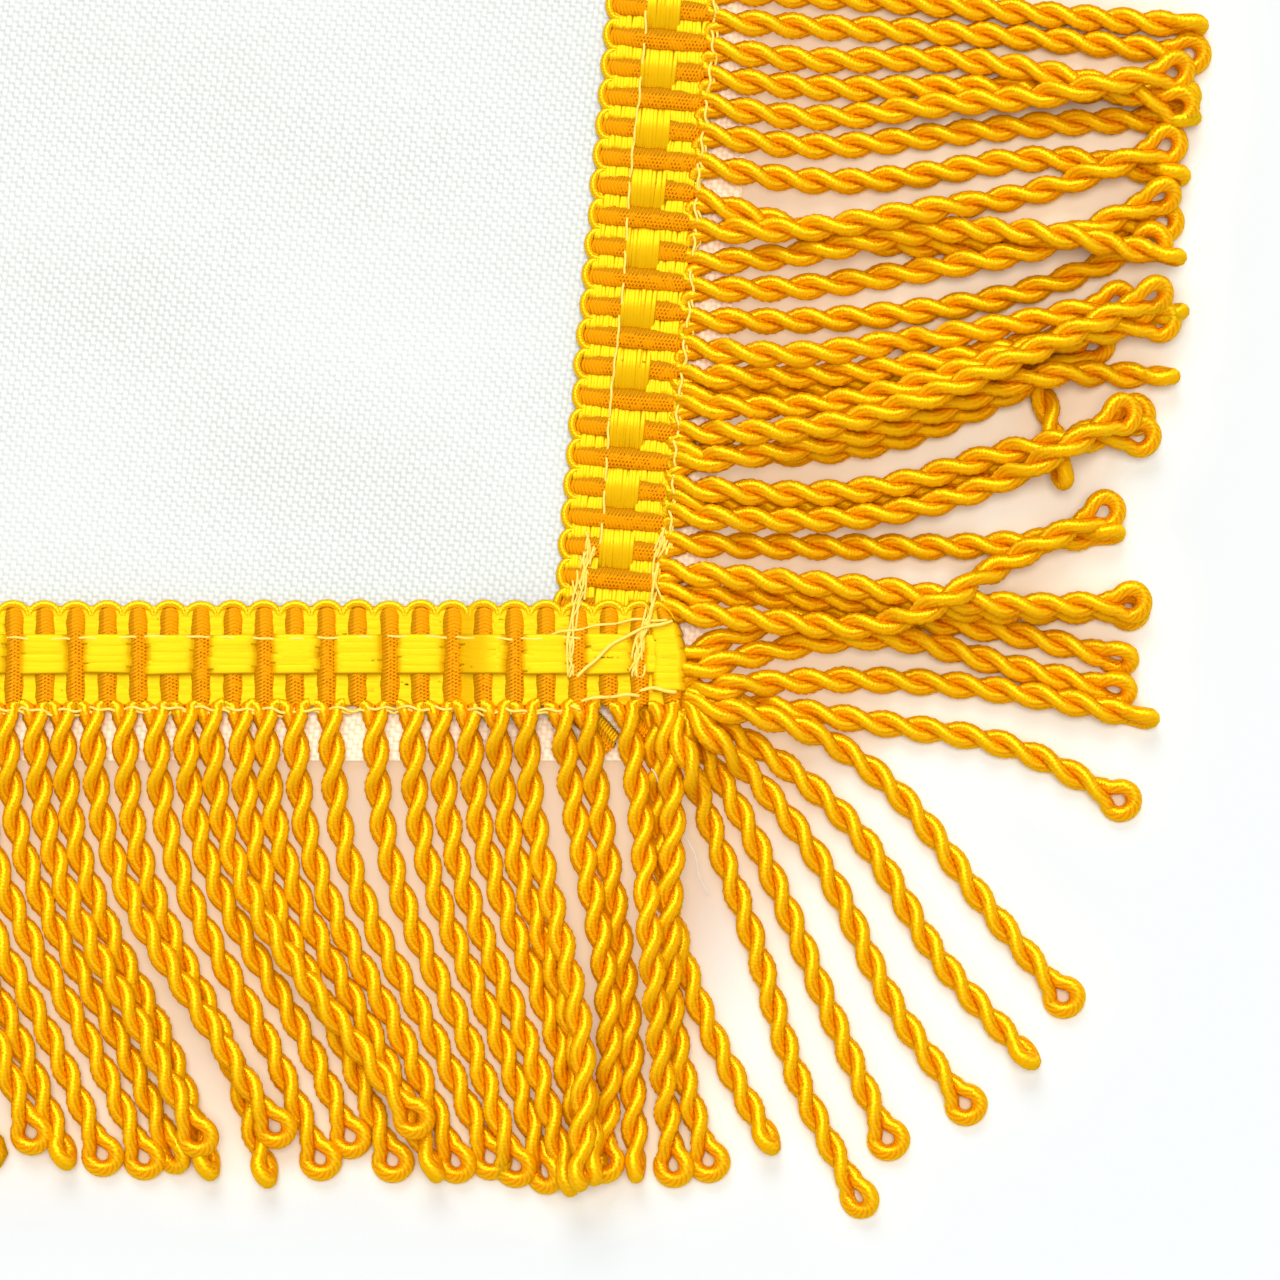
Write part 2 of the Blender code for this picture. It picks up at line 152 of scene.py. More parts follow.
@dataclass
class FlagPlan:
    """Places of the flag, read from the frame's boxes."""

    cloth_left: float
    cloth_right: float
    cloth_top: float
    canton_right: float
    canton_bottom: float
    cross_low: Array
    cross_high: Array

    @classmethod
    def from_frame(cls) -> FlagPlan:
        """Read the boxes of the cloth's nodes."""
        field_low, field_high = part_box("field")
        canton_low, canton_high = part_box("canton")
        cross_low, cross_high = map(np.array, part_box("cross"))
        return cls(
            cloth_left=float(field_low[0]),
            cloth_right=float(field_high[0]),
            cloth_top=float(field_high[1]),
            canton_right=float(canton_high[0]),
            canton_bottom=float(canton_low[1]),
            cross_low=cross_low,
            cross_high=cross_high,
        )

    @property
    def fly_x(self) -> float:
        """Outer edge of the straight part of the fly heading."""
        return self.cloth_right - LEDGE_FLY

    @property
    def edge_y(self) -> float:
        """Distance from the middle to the outer edges of the bottom and top headings."""
        return self.cloth_top - LEDGE_BELOW

    @property
    def corner_x(self) -> float:
        """Outer edge of the fly heading at the photographed corner."""
        return self.fly_x - FLY_SLOPE * (FLY_SLOPE_END + FLY_STRAIGHT_FROM) / 2

    @property
    def flange_x(self) -> float:
        """Free edge of the sleeve's flange, where the level headings start."""
        return self.cloth_left + SLEEVE_FLANGE

    @staticmethod
    def fly_shift(height: Array | float) -> Array:
        """Sideways shift of the fly edge: a straight slope that eases to none as a parabola."""
        bend = FLY_STRAIGHT_FROM - FLY_SLOPE_END
        eased = -FLY_SLOPE * (FLY_STRAIGHT_FROM - height) ** 2 / (2 * bend)
        sloped = -FLY_SLOPE * (bend / 2 + FLY_SLOPE_END - height)
        return np.where(height >= FLY_STRAIGHT_FROM, 0.0, np.where(height >= FLY_SLOPE_END, eased, sloped))

    @staticmethod
    def fly_slope(height: Array | float) -> Array:
        """Slope of the fly edge at a height above the corner."""
        bend = FLY_STRAIGHT_FROM - FLY_SLOPE_END
        return FLY_SLOPE * np.clip((FLY_STRAIGHT_FROM - height) / bend, 0.0, 1.0)

    def ripple(self, x: Array, y: Array) -> Array:
        """Height of the lying cloth: two crossed sine waves, faded out at the edges and the corner."""
        edge = np.minimum(np.minimum(x - self.cloth_left, self.cloth_right - x), self.cloth_top - np.abs(y))
        corner = np.hypot(x - self.corner_x, y + self.edge_y)
        calm = smooth_step((edge - FLAT_BORDER) / RIPPLE_MARGIN)
        calm = calm * smooth_step((corner - CALM_CORNER) / CALM_FADE)
        along = x * math.cos(RIPPLE_BEARING) + y * math.sin(RIPPLE_BEARING)
        across = y * math.cos(RIPPLE_BEARING) - x * math.sin(RIPPLE_BEARING)
        turn = 2 * math.pi / RIPPLE_LENGTH
        wave = 0.5 + 0.35 * np.sin(turn * along) + 0.15 * np.sin(0.6 * turn * across + 1.0)
        return RIPPLE_HEIGHT * calm * wave

    def on_cloth(self, x: Array, y: Array) -> tuple[Array, Array]:
        """Plan place of a point of the flat cut cloth, drawn in towards the photographed corner."""
        middle = (self.canton_right + self.cloth_right) / 2
        share = smooth_step((x - middle) / (self.cloth_right - middle))
        return x + self.fly_shift(y + self.edge_y) * share, y


def placed(name: str, data: bpy.types.ID) -> bpy.types.Object:
    """New object at the origin, linked to the scene."""
    made = bpy.data.objects.new(name, data)
    bpy.context.scene.collection.objects.link(made)
    return made


def colour(red: float, green: float, blue: float) -> tuple[float, float, float, float]:
    """Opaque linear colour."""
    return (red, green, blue, 1.0)


class Value:
    """Number, colour or direction that varies over a surface: one socket of a finish's node tree.

    Its sums, differences and products with other values or plain numbers add the node for each.
    """

    def __init__(self, graph: Graph, socket: bpy.types.NodeSocket) -> None:
        """Keep the socket and the tree that it belongs to."""
        self.graph = graph
        self.socket = socket

    def __add__(self, other: Value | float) -> Value:
        """Sum."""
        return self.graph.math("ADD", self, other)

    def __sub__(self, other: Value | float) -> Value:
        """Difference."""
        return self.graph.math("SUBTRACT", self, other)

    def __mul__(self, other: Value | float) -> Value:
        """Product."""
        return self.graph.math("MULTIPLY", self, other)

    def sine(self) -> Value:
        """Sine of an angle."""
        return self.graph.math("SINE", self)

    def cosine(self) -> Value:
        """Cosine of an angle."""
        return self.graph.math("COSINE", self)

    def size(self) -> Value:
        """Size without its sign."""
        return self.graph.math("ABSOLUTE", self)

    def ramp(self, low: float, high: float) -> Value:
        """Share of the way from low to high, held between 0 and 1 and eased at both ends."""
        return self.graph.read(
            "ShaderNodeMapRange", 0, self, low, high, 0.0, 1.0, interpolation_type="SMOOTHSTEP"
        )


class Graph:
    """Node tree of one finish, with short calls for the nodes that the finishes share."""

    def __init__(self, name: str) -> None:
        """Make an empty material with its shader.

        Args:
            name: the material's name.
        """
        self.material = bpy.data.materials.new(name)
        self.material.use_nodes = True
        self.tree = self.material.node_tree
        self.shader = self.tree.nodes["Principled BSDF"]

    def feed(self, socket: bpy.types.NodeSocket, value: object) -> None:
        """Link a socket to a value, or set its plain number or colour."""
        if isinstance(value, Value):
            self.tree.links.new(value.socket, socket)
        else:
            socket.default_value = value

    def node(self, kind: str, *inputs: object, **settings: object) -> bpy.types.Node:
        """Add a node, set its own properties and feed its first inputs."""
        made = self.tree.nodes.new(kind)
        for name, value in settings.items():
            setattr(made, name, value)
        for socket, value in zip(made.inputs, inputs):
            self.feed(socket, value)
        return made

    def read(self, kind: str, output: int | str = 0, *inputs: object, **settings: object) -> Value:
        """Add a node and read one of its outputs."""
        return Value(self, self.node(kind, *inputs, **settings).outputs[output])

    def fill(self, node: bpy.types.Node, **values: object) -> None:
        """Feed a node's inputs by their names, with _ for a space."""
        for name, value in values.items():
            self.feed(node.inputs[name.replace("_", " ")], value)

    def surface(self, **values: object) -> None:
        """Feed the shader's inputs by their names."""
        self.fill(self.shader, **values)

    def math(self, operation: str, *numbers: object) -> Value:
        """Result of a math node."""
        return self.read("ShaderNodeMath", 0, *numbers, operation=operation)

    def vector(self, operation: str, *inputs: object) -> Value:
        """Result of a vector node."""
        return self.read("ShaderNodeVectorMath", 0, *inputs, operation=operation)

    def mix(self, share: Value, first: object, second: object) -> Value:
        """Colour between two colours."""
        made = self.node("ShaderNodeMix", share, data_type="RGBA")
        colours = [socket for socket in made.inputs if socket.type == "RGBA"]
        self.feed(colours[0], first)
        self.feed(colours[1], second)
        return Value(self, next(socket for socket in made.outputs if socket.type == "RGBA"))

    def noise(self, vector: Value, scale: float, detail: float = 2.0) -> Value:
        """Value of a noise texture."""
        made = self.node("ShaderNodeTexNoise")
        self.fill(made, Vector=vector, Scale=scale, Detail=detail)
        return Value(self, made.outputs["Fac"])

    def place(self) -> Value:
        """Object coordinates, in metres."""
        return self.read("ShaderNodeTexCoord", "Object")

    def parts(self, vector: Value) -> list[Value]:
        """The three numbers of a place."""
        return [Value(self, socket) for socket in self.node("ShaderNodeSeparateXYZ", vector).outputs]

    def joined(self, *numbers: Value) -> Value:
        """Place from its numbers."""
        return self.read("ShaderNodeCombineXYZ", 0, *numbers)

    def across(self) -> list[Value]:
        """The piece's own two coordinates, in millimetres along and across."""
        return self.parts(self.read("ShaderNodeUVMap", uv_map=UV_NAME))[:2]

    def along(self) -> Value:
        """Direction in which the piece's own first coordinate grows."""
        return self.read("ShaderNodeTangent", direction_type="UV_MAP", uv_map=UV_NAME)

    def stretched(self, vector: Value, scale: tuple, turn: float) -> Value:
        """Coordinates turned about Z and scaled, so that a pattern is drawn out one way."""
        return self.read("ShaderNodeMapping", 0, vector, ZERO, (0.0, 0.0, turn), scale)

    def leaning(self, share: Value) -> Value:
        """Normal that leans across the piece: normal + share * (normal x direction along), made unit."""
        normal = self.read("ShaderNodeNewGeometry", "Normal")
        beside = self.vector("CROSS_PRODUCT", normal, self.along())
        lean = self.vector("SCALE", beside, ZERO, ZERO, share)
        return self.vector("NORMALIZE", self.vector("ADD", normal, lean))

    def bump(self, height: Value, strength: float, distance: float, **normal: Value) -> None:
        """Raise the surface by a height pattern, or sink it where the strength is negative."""
        made = self.node("ShaderNodeBump", invert=strength < 0)
        self.fill(made, Strength=abs(strength), Distance=distance, Height=height, **normal)
        self.surface(Normal=Value(self, made.outputs[0]))


@dataclass(frozen=True)
class WovenCloth:
    """Plain weave of fine filament yarn, its warp and weft both a little off square."""

    name: str
    thread: tuple
    # The gap colour is painted shade in the spaces between the threads.
    gap: tuple
    shine: float = 0.2
    # Under the fringe: painted gold-tinted light thrown back by the fringe, on the threads and on the
    # painted shade between them.
    warm_light: tuple = (0.95, 0.80, 0.62, 1.0)
    warm_light_gap: tuple = (0.78, 0.58, 0.42, 1.0)
    warp_pitch: float = 0.491 * MM
    warp_lean: float = -0.152
    weft_pitch: float = 0.401 * MM
    weft_lean: float = 0.042
    bend: float = 2.6
    jitter: float = 2.1
    weights: tuple = (0.47, -0.28, 0.48, -0.24)
    # Slow noise bands that make the painted shade between the threads stronger in places: painted light and
    # shade.
    bands: tuple = (26.0, 60.0, 1.0)
    bands_turn: float = math.radians(-35)
    bend_scale: float = 38.0
    slub_scales: tuple = (1300.0, 900.0)
    ragged_scale: float = 2600.0

    def build(self) -> bpy.types.Material:
        """Weave from weighted cosines of the warp and weft angles' difference, sum and doubles.

        The difference outweighs the sum, so the dark spots, painted shade in the gaps between the threads,
        run together in short slanting lines. Slow noise bands, painted light and shade, make the spots
        stronger in places. The attribute under_fringe marks the ledge that the fringe covers, where the
        white is painted with the gold-tinted light that the fringe throws back.
        """
        graph = Graph(self.name)
        place = graph.place()
        x, y, _ = graph.parts(place)
        bend = graph.noise(place, self.bend_scale, 1.0) * self.bend
        warp = (y * self.warp_lean + x) * (math.pi / self.warp_pitch)
        weft = (x * self.weft_lean + y) * (-math.pi / self.weft_pitch)
        warp_slubs, weft_slubs = (graph.noise(place, scale) for scale in self.slub_scales)
        warp = warp + (warp_slubs * self.jitter + bend)
        weft = weft + (weft_slubs * -self.jitter + bend)
        angles = (warp - weft, warp + weft, warp * 2.0, weft * 2.0)
        slanting, other, upright, level = (
            angle.cosine() * weight for angle, weight in zip(angles, self.weights)
        )
        dark = (slanting + other) + (upright + level)
        # Bands of painted light and shade, drawn out on a slant.
        bands = graph.noise(graph.stretched(place, self.bands, self.bands_turn), 1.0, 1.0)
        ragged = graph.noise(place, self.ragged_scale) * 1.6 + 0.2
        # Share of painted shade in the gaps between the threads, set by the weave, the bands and ragged
        # noise.
        share = dark.ramp(-0.45, 0.7) * ((bands + 0.3) * ragged)
        under = graph.read("ShaderNodeAttribute", "Fac", attribute_name=UNDER_FRINGE)
        # Under the fringe the colours turn to painted gold-tinted light.
        thread = graph.mix(under, self.thread, self.warm_light)
        gap = graph.mix(under, self.gap, self.warm_light_gap)
        graph.surface(
            Base_Color=graph.mix(share, thread, gap), Roughness=0.5, Specular_IOR_Level=self.shine
        )
        graph.bump(dark, -0.3, 0.05 * MM)
        return graph.material


@dataclass(frozen=True)
class WrappedCord:
    """Ply of rayon wrapped round a core: its fine wraps throw a bright line along it.

    The ply is outer where it faces away from its cord's middle, then body, and deep where it faces the
    middle. On the gold cord the outer colour is a painted highlight and the deep one painted shade in the
    crevice between the plies; on the arch cord the outer colour is painted shade and the deep one a
    painted highlight line. The yarns show as lines of painted shade in the grooves between them.
    """

    name: str
    outer: tuple
    body: tuple
    deep: tuple
    gloss: tuple
    painted_groove_shade: tuple
    glow: float = 0.0
    wrap_pitch: float = 0.27
    yarn_slope: float = 9.5
    yarns_round: float = 9.0
    roughness: float = 0.37
    grain_along: float = 4.6
    grain_round: float = 0.9
    lean: float = -0.20
    lean_grain: float = 0.40
    lean_wrap: float = 0.06

    def build(self) -> bpy.types.Material:
        """Wraps and yarns from sines of the place along and round the ply, grain from noise on it.

        The noise is read on the ply's own cylinder. The normal leans to one side by the wraps and the
        grain, which puts the bright line beside the middle of the ply.
        """
        graph = Graph(self.name)
        along, turn = graph.across()
        angle = turn * (2 * math.pi)
        outward = angle.cosine()
        wrap = (along * (2 * math.pi / self.wrap_pitch) + angle).sine()
        round_x, round_y = outward * self.grain_round, angle.sine() * self.grain_round
        grain = graph.noise(graph.joined(along * self.grain_along, round_x, round_y), 1.0)
        yarns = (along * self.yarn_slope + angle * self.yarns_round).sine()
        # Painted shade in the grooves between the yarns, weaker on the side that faces away from the cord's
        # middle.
        lines = yarns.ramp(-0.1, 0.9) * outward.ramp(1.3, 0.3)
        # Painted light and shade round the ply: the deep colour where it faces the cord's middle, the outer
        # one where it faces away.
        shell = graph.mix(outward.ramp(-0.85, 0.3), self.deep, self.body)
        shell = graph.mix(outward.ramp(0.3, 1.0) * 0.6, shell, self.outer)
        shell = graph.mix(lines * 0.85, shell, self.painted_groove_shade)
        graph.surface(
            Base_Color=graph.mix(grain * -0.9 + 0.5, shell, self.deep), Roughness=self.roughness, IOR=2.6,
            Specular_IOR_Level=1.0, Specular_Tint=self.gloss, Anisotropic=1.0, Tangent=graph.along(),
            Subsurface_Weight=self.glow, Subsurface_Scale=MM, Subsurface_Radius=(0.9, 0.35, 0.05),
        )
        lean = graph.leaning(grain * self.lean_grain + (wrap * self.lean_wrap + self.lean))
        graph.bump(wrap * -0.28 + grain * 1.2, 0.5, 0.04 * MM, Normal=lean)
        return graph.material


@dataclass(frozen=True)
class FloatThreads:
    """Untwisted rayon threads: a satin, bright where a thread faces between lamp and eye."""

    name: str
    bright: tuple
    deep: tuple
    gloss: tuple
    roughness: float = 0.56

    def build(self) -> bpy.types.Material:
        """Fibres from noise that is drawn out along the thread, and patches from coarser noise."""
        graph = Graph(self.name)
        along, across = graph.across()
        fibres = graph.noise(graph.joined(along * 0.5, across * 9.0), 1.0)
        patches = graph.noise(graph.place(), 900.0, 1.0)
        share = fibres.ramp(0.3, 0.65) + (patches * 0.7 - 0.35)
        graph.surface(
            Base_Color=graph.mix(share, self.deep, self.bright), Roughness=self.roughness, IOR=2.35,
            Specular_IOR_Level=1.0, Specular_Tint=self.gloss, Anisotropic=0.7, Anisotropic_Rotation=0.25,
            Tangent=graph.along(),
        )
        graph.bump(fibres, 0.16, 0.03 * MM)
        return graph.material


@dataclass(frozen=True)
class GimpRib:
    """Gimp packed side by side: fine ribs across it, an ochre flank, and pinholes in its lower half."""

    name: str
    orange: tuple
    ochre: tuple
    pinhole: tuple
    rib_pitch: float = 0.31
    hole_pitch: float = 0.30
    flank: float = 0.24
    holes_below: float = 7.0

    def build(self) -> bpy.types.Material:
        """Ribs from a sine along that bends with the place across, pinholes from two crossed cosines."""
        graph = Graph(self.name)
        along, across = graph.across()
        turns = along * (2 * math.pi / self.rib_pitch)
        rib = (turns + (across + 0.15).size() * 7.0).sine()
        flank = across.ramp(self.flank, self.flank + 0.16)
        rows = (across * (2 * math.pi / self.hole_pitch) + 0.6).cosine()
        spots = (turns + across * 12.5).cosine().ramp(0.15, 0.75) * rows.ramp(-0.3, 0.5)
        spots = spots * along.ramp(self.holes_below, self.holes_below - 1.2)
        spots = spots * graph.noise(graph.place(), 1500.0, 1.0).ramp(0.35, 0.55)
        spots = spots * (flank * -1.0 + 1.0)
        grain = graph.noise(graph.place(), 3200.0)
        # Painted shade: the troughs between the fine ribs lean towards the ochre.
        tone = flank * 0.85 + rib * -0.30 + (grain * 0.9 - 0.38)
        base = graph.mix(tone, self.orange, self.ochre)
        graph.surface(
            Base_Color=graph.mix(spots, base, self.pinhole), Roughness=0.5, IOR=1.5,
            Specular_IOR_Level=0.26, Specular_Tint=colour(1.0, 0.8, 0.2),
        )
        graph.bump(rib - spots * 2.0, 0.7, 0.06 * MM)
        return graph.material


@dataclass(frozen=True)
class PlainThread:
    """Fine thread with a grain."""

    name: str
    bright: tuple
    deep: tuple

    def build(self) -> bpy.types.Material:
        """Grain from noise in the piece's place."""
        graph = Graph(self.name)
        grain = graph.noise(graph.place(), 4000.0)
        graph.surface(
            Base_Color=graph.mix(grain, self.deep, self.bright), Roughness=0.6, Specular_IOR_Level=0.2
        )
        graph.bump(grain, 0.2, 0.03 * MM)
        return graph.material


@dataclass(frozen=True)
class PaleFloor:
    """Matt pale floor, painted with the light and shade that the translucent gold of the fringe that lies
    on it would give it.

    It is plain in the open, painted paler beside the flag, and plain_shade, painted shade, where most of
    the sky is hidden. Under the fringe it is painted gold-tinted light, or warm_shade, painted shade,
    instead, and it emits the painted light that it calls glow.
    """

    name: str
    plain: tuple
    painted_light_near: tuple
    plain_shade: tuple
    warm_light: tuple
    warm_shade: tuple
    glow: tuple
    hoist: float
    edge_x: float
    edge_y: float
    reach: float = 48 * MM
    sky_reach: float = 6 * MM
    sky_steps: tuple = (0.22, 0.70, 1.0)

    def build(self) -> bpy.types.Material:
        """The painted gold-tinted light falls away with twice the distance beyond the fly edge plus that
        beyond the other edge.

        Where strands hide most of the sky from the floor, as ambient occlusion reads it, the floor is
        painted a
        warmer colour: painted shade, tinted for the light that comes through them. Where they hide little
        of it, the floor is painted paler, as a scanner leaves no soft shade.
        """
        graph = Graph(self.name)
        x, y, _ = graph.parts(graph.place())
        beyond_x = graph.math("MAXIMUM", x.size() - self.edge_x, 0.0)
        beyond_y = graph.math("MAXIMUM", y.size() - self.edge_y, 0.0)
        # Share of the floor, under and beside the fringe, that takes the painted gold-tinted colours and
        # the painted glow.
        near = (beyond_x * 2.0 + beyond_y).ramp(self.reach, 0.35 * self.reach)
        near = near * x.ramp(self.hoist, self.hoist + 8 * MM)
        # How much of the sky the strands hide sets painted shade and painted light in the floor's colour.
        made = graph.node("ShaderNodeAmbientOcclusion", samples=8)
        graph.fill(made, Distance=self.sky_reach)
        sky = Value(graph, made.outputs["AO"])
        shut, half, clear = self.sky_steps
        open_share = sky.ramp(shut, half)
        plain = graph.mix(sky.ramp(half, clear), self.painted_light_near, self.plain)
        plain = graph.mix(open_share, self.plain_shade, plain)
        warm_light = graph.mix(open_share, self.warm_shade, self.warm_light)
        # The emission, glow, is painted light for the light that comes through the gold.
        graph.surface(
            Base_Color=graph.mix(near, plain, warm_light), Roughness=0.9, Specular_IOR_Level=0.2,
            Emission_Color=self.glow, Emission_Strength=near,
        )
        return graph.material


@dataclass
class Finishes:
    """The flag's finishes, each made once."""

    white: bpy.types.Material
    blue: bpy.types.Material
    red: bpy.types.Material
    cord: bpy.types.Material
    arches: bpy.types.Material
    gimp: bpy.types.Material
    floats: bpy.types.Material
    sewing: bpy.types.Material
    clear: bpy.types.Material
    floor: bpy.types.Material

    @classmethod
    def build(cls, plan: FlagPlan) -> Finishes:
        """Make every finish.

        Args:
            plan: where the flag's edges are.
        Returns:
            The finishes.
        """
        lemon = colour(1.0, 0.83, 0.03)
        makers = (
            WovenCloth("White nylon", colour(0.600, 0.632, 0.646), colour(0.440, 0.487, 0.474)),
            WovenCloth("Blue nylon", colour(0.005, 0.018, 0.125), colour(0.003, 0.011, 0.085), 0.08),
            WovenCloth("Red nylon", colour(0.41, 0.005, 0.009), colour(0.29, 0.003, 0.006), 0.08),
            # Gold cord: the outer colour is a painted highlight, the deep one painted shade between the
            # plies, the last one painted shade between the yarns.
            WrappedCord(
                "Gold cord", colour(0.74, 0.395, 0.0), colour(0.77, 0.36, 0.0), colour(0.83, 0.28, 0.0),
                gloss=colour(1.0, 0.73, 0.02), painted_groove_shade=colour(0.58, 0.13, 0.0), glow=0.4,
            ),
            # Arch cord: the outer colour is painted shade, the deep one a painted highlight line on the
            # side that faces the arch's middle.
            WrappedCord(
                "Arch cord", colour(0.66, 0.28, 0.0), colour(0.80, 0.40, 0.0), colour(0.85, 0.58, 0.01),
                gloss=lemon, painted_groove_shade=colour(0.56, 0.22, 0.0),
            ),
            GimpRib(
                "Gold gimp", colour(0.77, 0.285, 0.0), colour(0.44, 0.185, 0.0), colour(0.32, 0.04, 0.0)
            ),
            FloatThreads("Lemon floats", colour(0.70, 0.38, 0.0), colour(0.62, 0.32, 0.0), lemon),
            PlainThread("Sewing thread", colour(0.84, 0.66, 0.15), colour(0.76, 0.50, 0.05)),
            PlainThread("Clear filament", colour(0.64, 0.62, 0.58), colour(0.52, 0.48, 0.42)),
            # Beside and under the fringe the floor's colours are painted light and shade, and its glow is
            # painted light.
            PaleFloor(
                "Pale floor", plain=colour(0.563, 0.601, 0.635), painted_light_near=colour(0.72, 0.73, 0.70),
                plain_shade=colour(0.70, 0.57, 0.42), warm_light=colour(0.25, 0.205, 0.19),
                warm_shade=colour(0.345, 0.26, 0.17), glow=colour(0.44, 0.315, 0.215),
                hoist=plan.cloth_left, edge_x=plan.corner_x, edge_y=plan.edge_y,
            ),
        )
        return cls(*(maker.build() for maker in makers))


class Patchwork:
    """Collects grids of points and turns them into one mesh."""

    def __init__(self) -> None:
        """Start with no grid."""
        self.points: list[Array] = []
        self.uvs: list[Array] = []
        self.corners: list[Array] = []
        self.starts: list[Array] = []
        self.count = 0
        self.corner_count = 0

    def add(self, points: Array, uv: Array, wrap: bool) -> None:
        """Add grids, each a run of rings.

        Args:
            points: places, shaped (grids, rings, points of a ring, 3).
            uv: the coordinates of the same points, with one more column when wrap is true.
            wrap: whether each ring closes on itself; its two end rings then get a cap.
        """
        grids, rings, sides, _ = points.shape
        index = np.arange(grids * rings * sides).reshape(grids, rings, sides) + self.count
        around = np.concatenate([index, index[:, :, :1]], axis=2) if wrap else index
        low, high = np.s_[:-1], np.s_[1:]
        corners = ((low, low), (low, high), (high, high), (high, low))
        quads = np.stack([around[:, ring, side] for ring, side in corners], axis=-1)
        quad_uv = np.stack([uv[:, ring, side] for ring, side in corners], axis=-2)
        self._faces(quads.reshape(-1, 4), quad_uv.reshape(-1, 2))
        if wrap:
            self._faces(index[:, 0, ::-1], uv[:, 0, :-1][:, ::-1].reshape(-1, 2))
            self._faces(index[:, -1, :], uv[:, -1, :-1].reshape(-1, 2))
        self.points.append(points.reshape(-1, 3))
        self.count += grids * rings * sides

    def _faces(self, faces: Array, uv: Array) -> None:
        """Add faces that all have as many corners, with the corners' coordinates."""
        total, size = faces.shape
        self.starts.append(self.corner_count + size * np.arange(total))
        self.corners.append(faces.reshape(-1))
        self.uvs.append(uv)
        self.corner_count += total * size

    def piece(
        self, name: str, material: bpy.types.Material, move: Callable[[Array], Array] | None = None
    ) -> bpy.types.Object:
        """Make the object.

        Args:
            name: the piece's name.
            material: its finish.
            move: maps the points from the grids' own coordinates to the frame's.
        Returns:
            The new object, linked to the scene.
        """
        parts = (self.points, self.corners, self.starts, self.uvs)
        points, corners, starts, uv = map(np.concatenate, parts)
        if move is not None:
            points = move(points)
        mesh = bpy.data.meshes.new(name)
        mesh.vertices.add(len(points))
        mesh.vertices.foreach_set("co", points.astype(np.float32).ravel())
        mesh.loops.add(len(corners))
        mesh.loops.foreach_set("vertex_index", corners.astype(np.int32))
        mesh.polygons.add(len(starts))
        mesh.polygons.foreach_set("loop_start", starts.astype(np.int32))
        layer = mesh.uv_layers.new(name=UV_NAME)
        layer.data.foreach_set("uv", uv.astype(np.float32).ravel())
        mesh.polygons.foreach_set("use_smooth", np.ones(len(starts), dtype=bool))
        mesh.update(calc_edges=True)
        mesh.materials.append(material)
        return placed(name, mesh)


def swept(
    path: Array, side: Array, half_width: Array | float, half_height: Array | float, sides: int,
) -> tuple[Array, Array]:
    """Tubes with elliptical sections: centre + cos(angle) * width + sin(angle) * height.

    Args:
        path: centres, shaped (tubes, rings, 3).
        side: direction of the section's width, for each ring or for all.
        half_width: half of the width, for each ring or for all.
        half_height: half of the height.
        sides: points of each ring.
    Returns:
        The points, shaped (tubes, rings, sides, 3), and their coordinates: millimetres along, and
        millimetres across from the middle.
    """
    tangent = unit(np.gradient(path, axis=1))
    side = unit(side - np.sum(side * tangent, axis=-1, keepdims=True) * tangent)
    rise = np.cross(tangent, side)
    width = np.broadcast_to(half_width, path.shape[:2])[..., None]
    height = np.broadcast_to(half_height, path.shape[:2])[..., None]
    angle = np.arange(sides + 1) * (2 * math.pi / sides)
    across = width * np.cos(angle)
    up = height * np.sin(angle)
    points = path[:, :, None] + across[..., None] * side[:, :, None] + up[..., None] * rise[:, :, None]
    run = run_up(np.linalg.norm(np.diff(path, axis=1), axis=-1))
    return points[:, :, :-1], points_at(run[..., None], across) / MM


def around_uv(uv: Array, sides: int) -> Array:
    """Coordinates whose second value is the share of the turn round the tube."""
    turned = uv.copy()
    turned[..., 1] = np.arange(sides + 1) / sides
    return turned


# Strands of the photographed corner. Bearings are the mean of each quarter, in degrees: from straight
# down towards the fly on the bottom edge, and from +X upwards on the fly edge and round the corner.
# A higher order lies on top. The turn is that of the tip's loop, 0 flat and 90 on edge.
EDGE_COLUMNS = ("root_mm", "quarter_1", "quarter_2", "quarter_3", "quarter_4", "length_mm", "order", "turn")
BOTTOM_STRANDS = (
    (-0.8, 6, -5, 3, 17, 39.8, 2, 0),
    (2.5, 9, 3, 5, 7, 40.0, 2, 10),
    (5.9, 8, 10, 6, 2, 39.6, 0, 80),
    (8.0, 7, 14, 6, -4, 39.8, 1, 0),
    (11.0, 3, 15, 14, -3, 40.3, 3, 90),
    (13.4, 3, 19, 21, 6, 40.5, 1, 70),
    (15.8, 3, 20, 24, 12, 41.0, 0, 0),
    (18.2, 2, 19, 25, 15, 42.2, 2, 80),
    (20.6, 1, 19, 27, 17, 42.3, 1, 20),
    (23.7, 1, 19, 29, 19, 42.0, 2, 0),
    (27.5, 2, 21, 31, 24, 42.0, 1, 0),
    (30.5, 2, 22, 32, 22, 42.3, 0, 10),
    (33.0, 2, 23, 31, 24, 42.4, 1, 80),
    (35.1, 2, 21, 29, 22, 41.9, 0, 0),
    (37.7, 3, 25, 39, 38, 40.7, 5, 0),
    (39.8, 2, 24, 34, 24, 40.5, 1, 0),
    (42.3, 2, 23, 32, 23, 42.2, 2, 0),
    (44.9, 1, 21, 30, 16, 42.0, 0, 90),
    (47.7, 2, 24, 36, 32, 40.5, 4, 0),
    (50.2, 2, 21, 30, 18, 41.5, 0, 90),
    (52.5, 2, 21, 33, 27, 40.3, 3, 0),
    (55.0, 2, 23, 33, 24, 41.8, 1, 30),
    (57.6, 2, 23, 33, 24, 42.3, 2, 0),
    (60.1, 2, 21, 31, 23, 41.6, 1, 0),
    (62.7, 2, 21, 30, 21, 40.8, 0, 90),
    (65.2, 2, 22, 32, 20, 39.5, 2, 0),
)
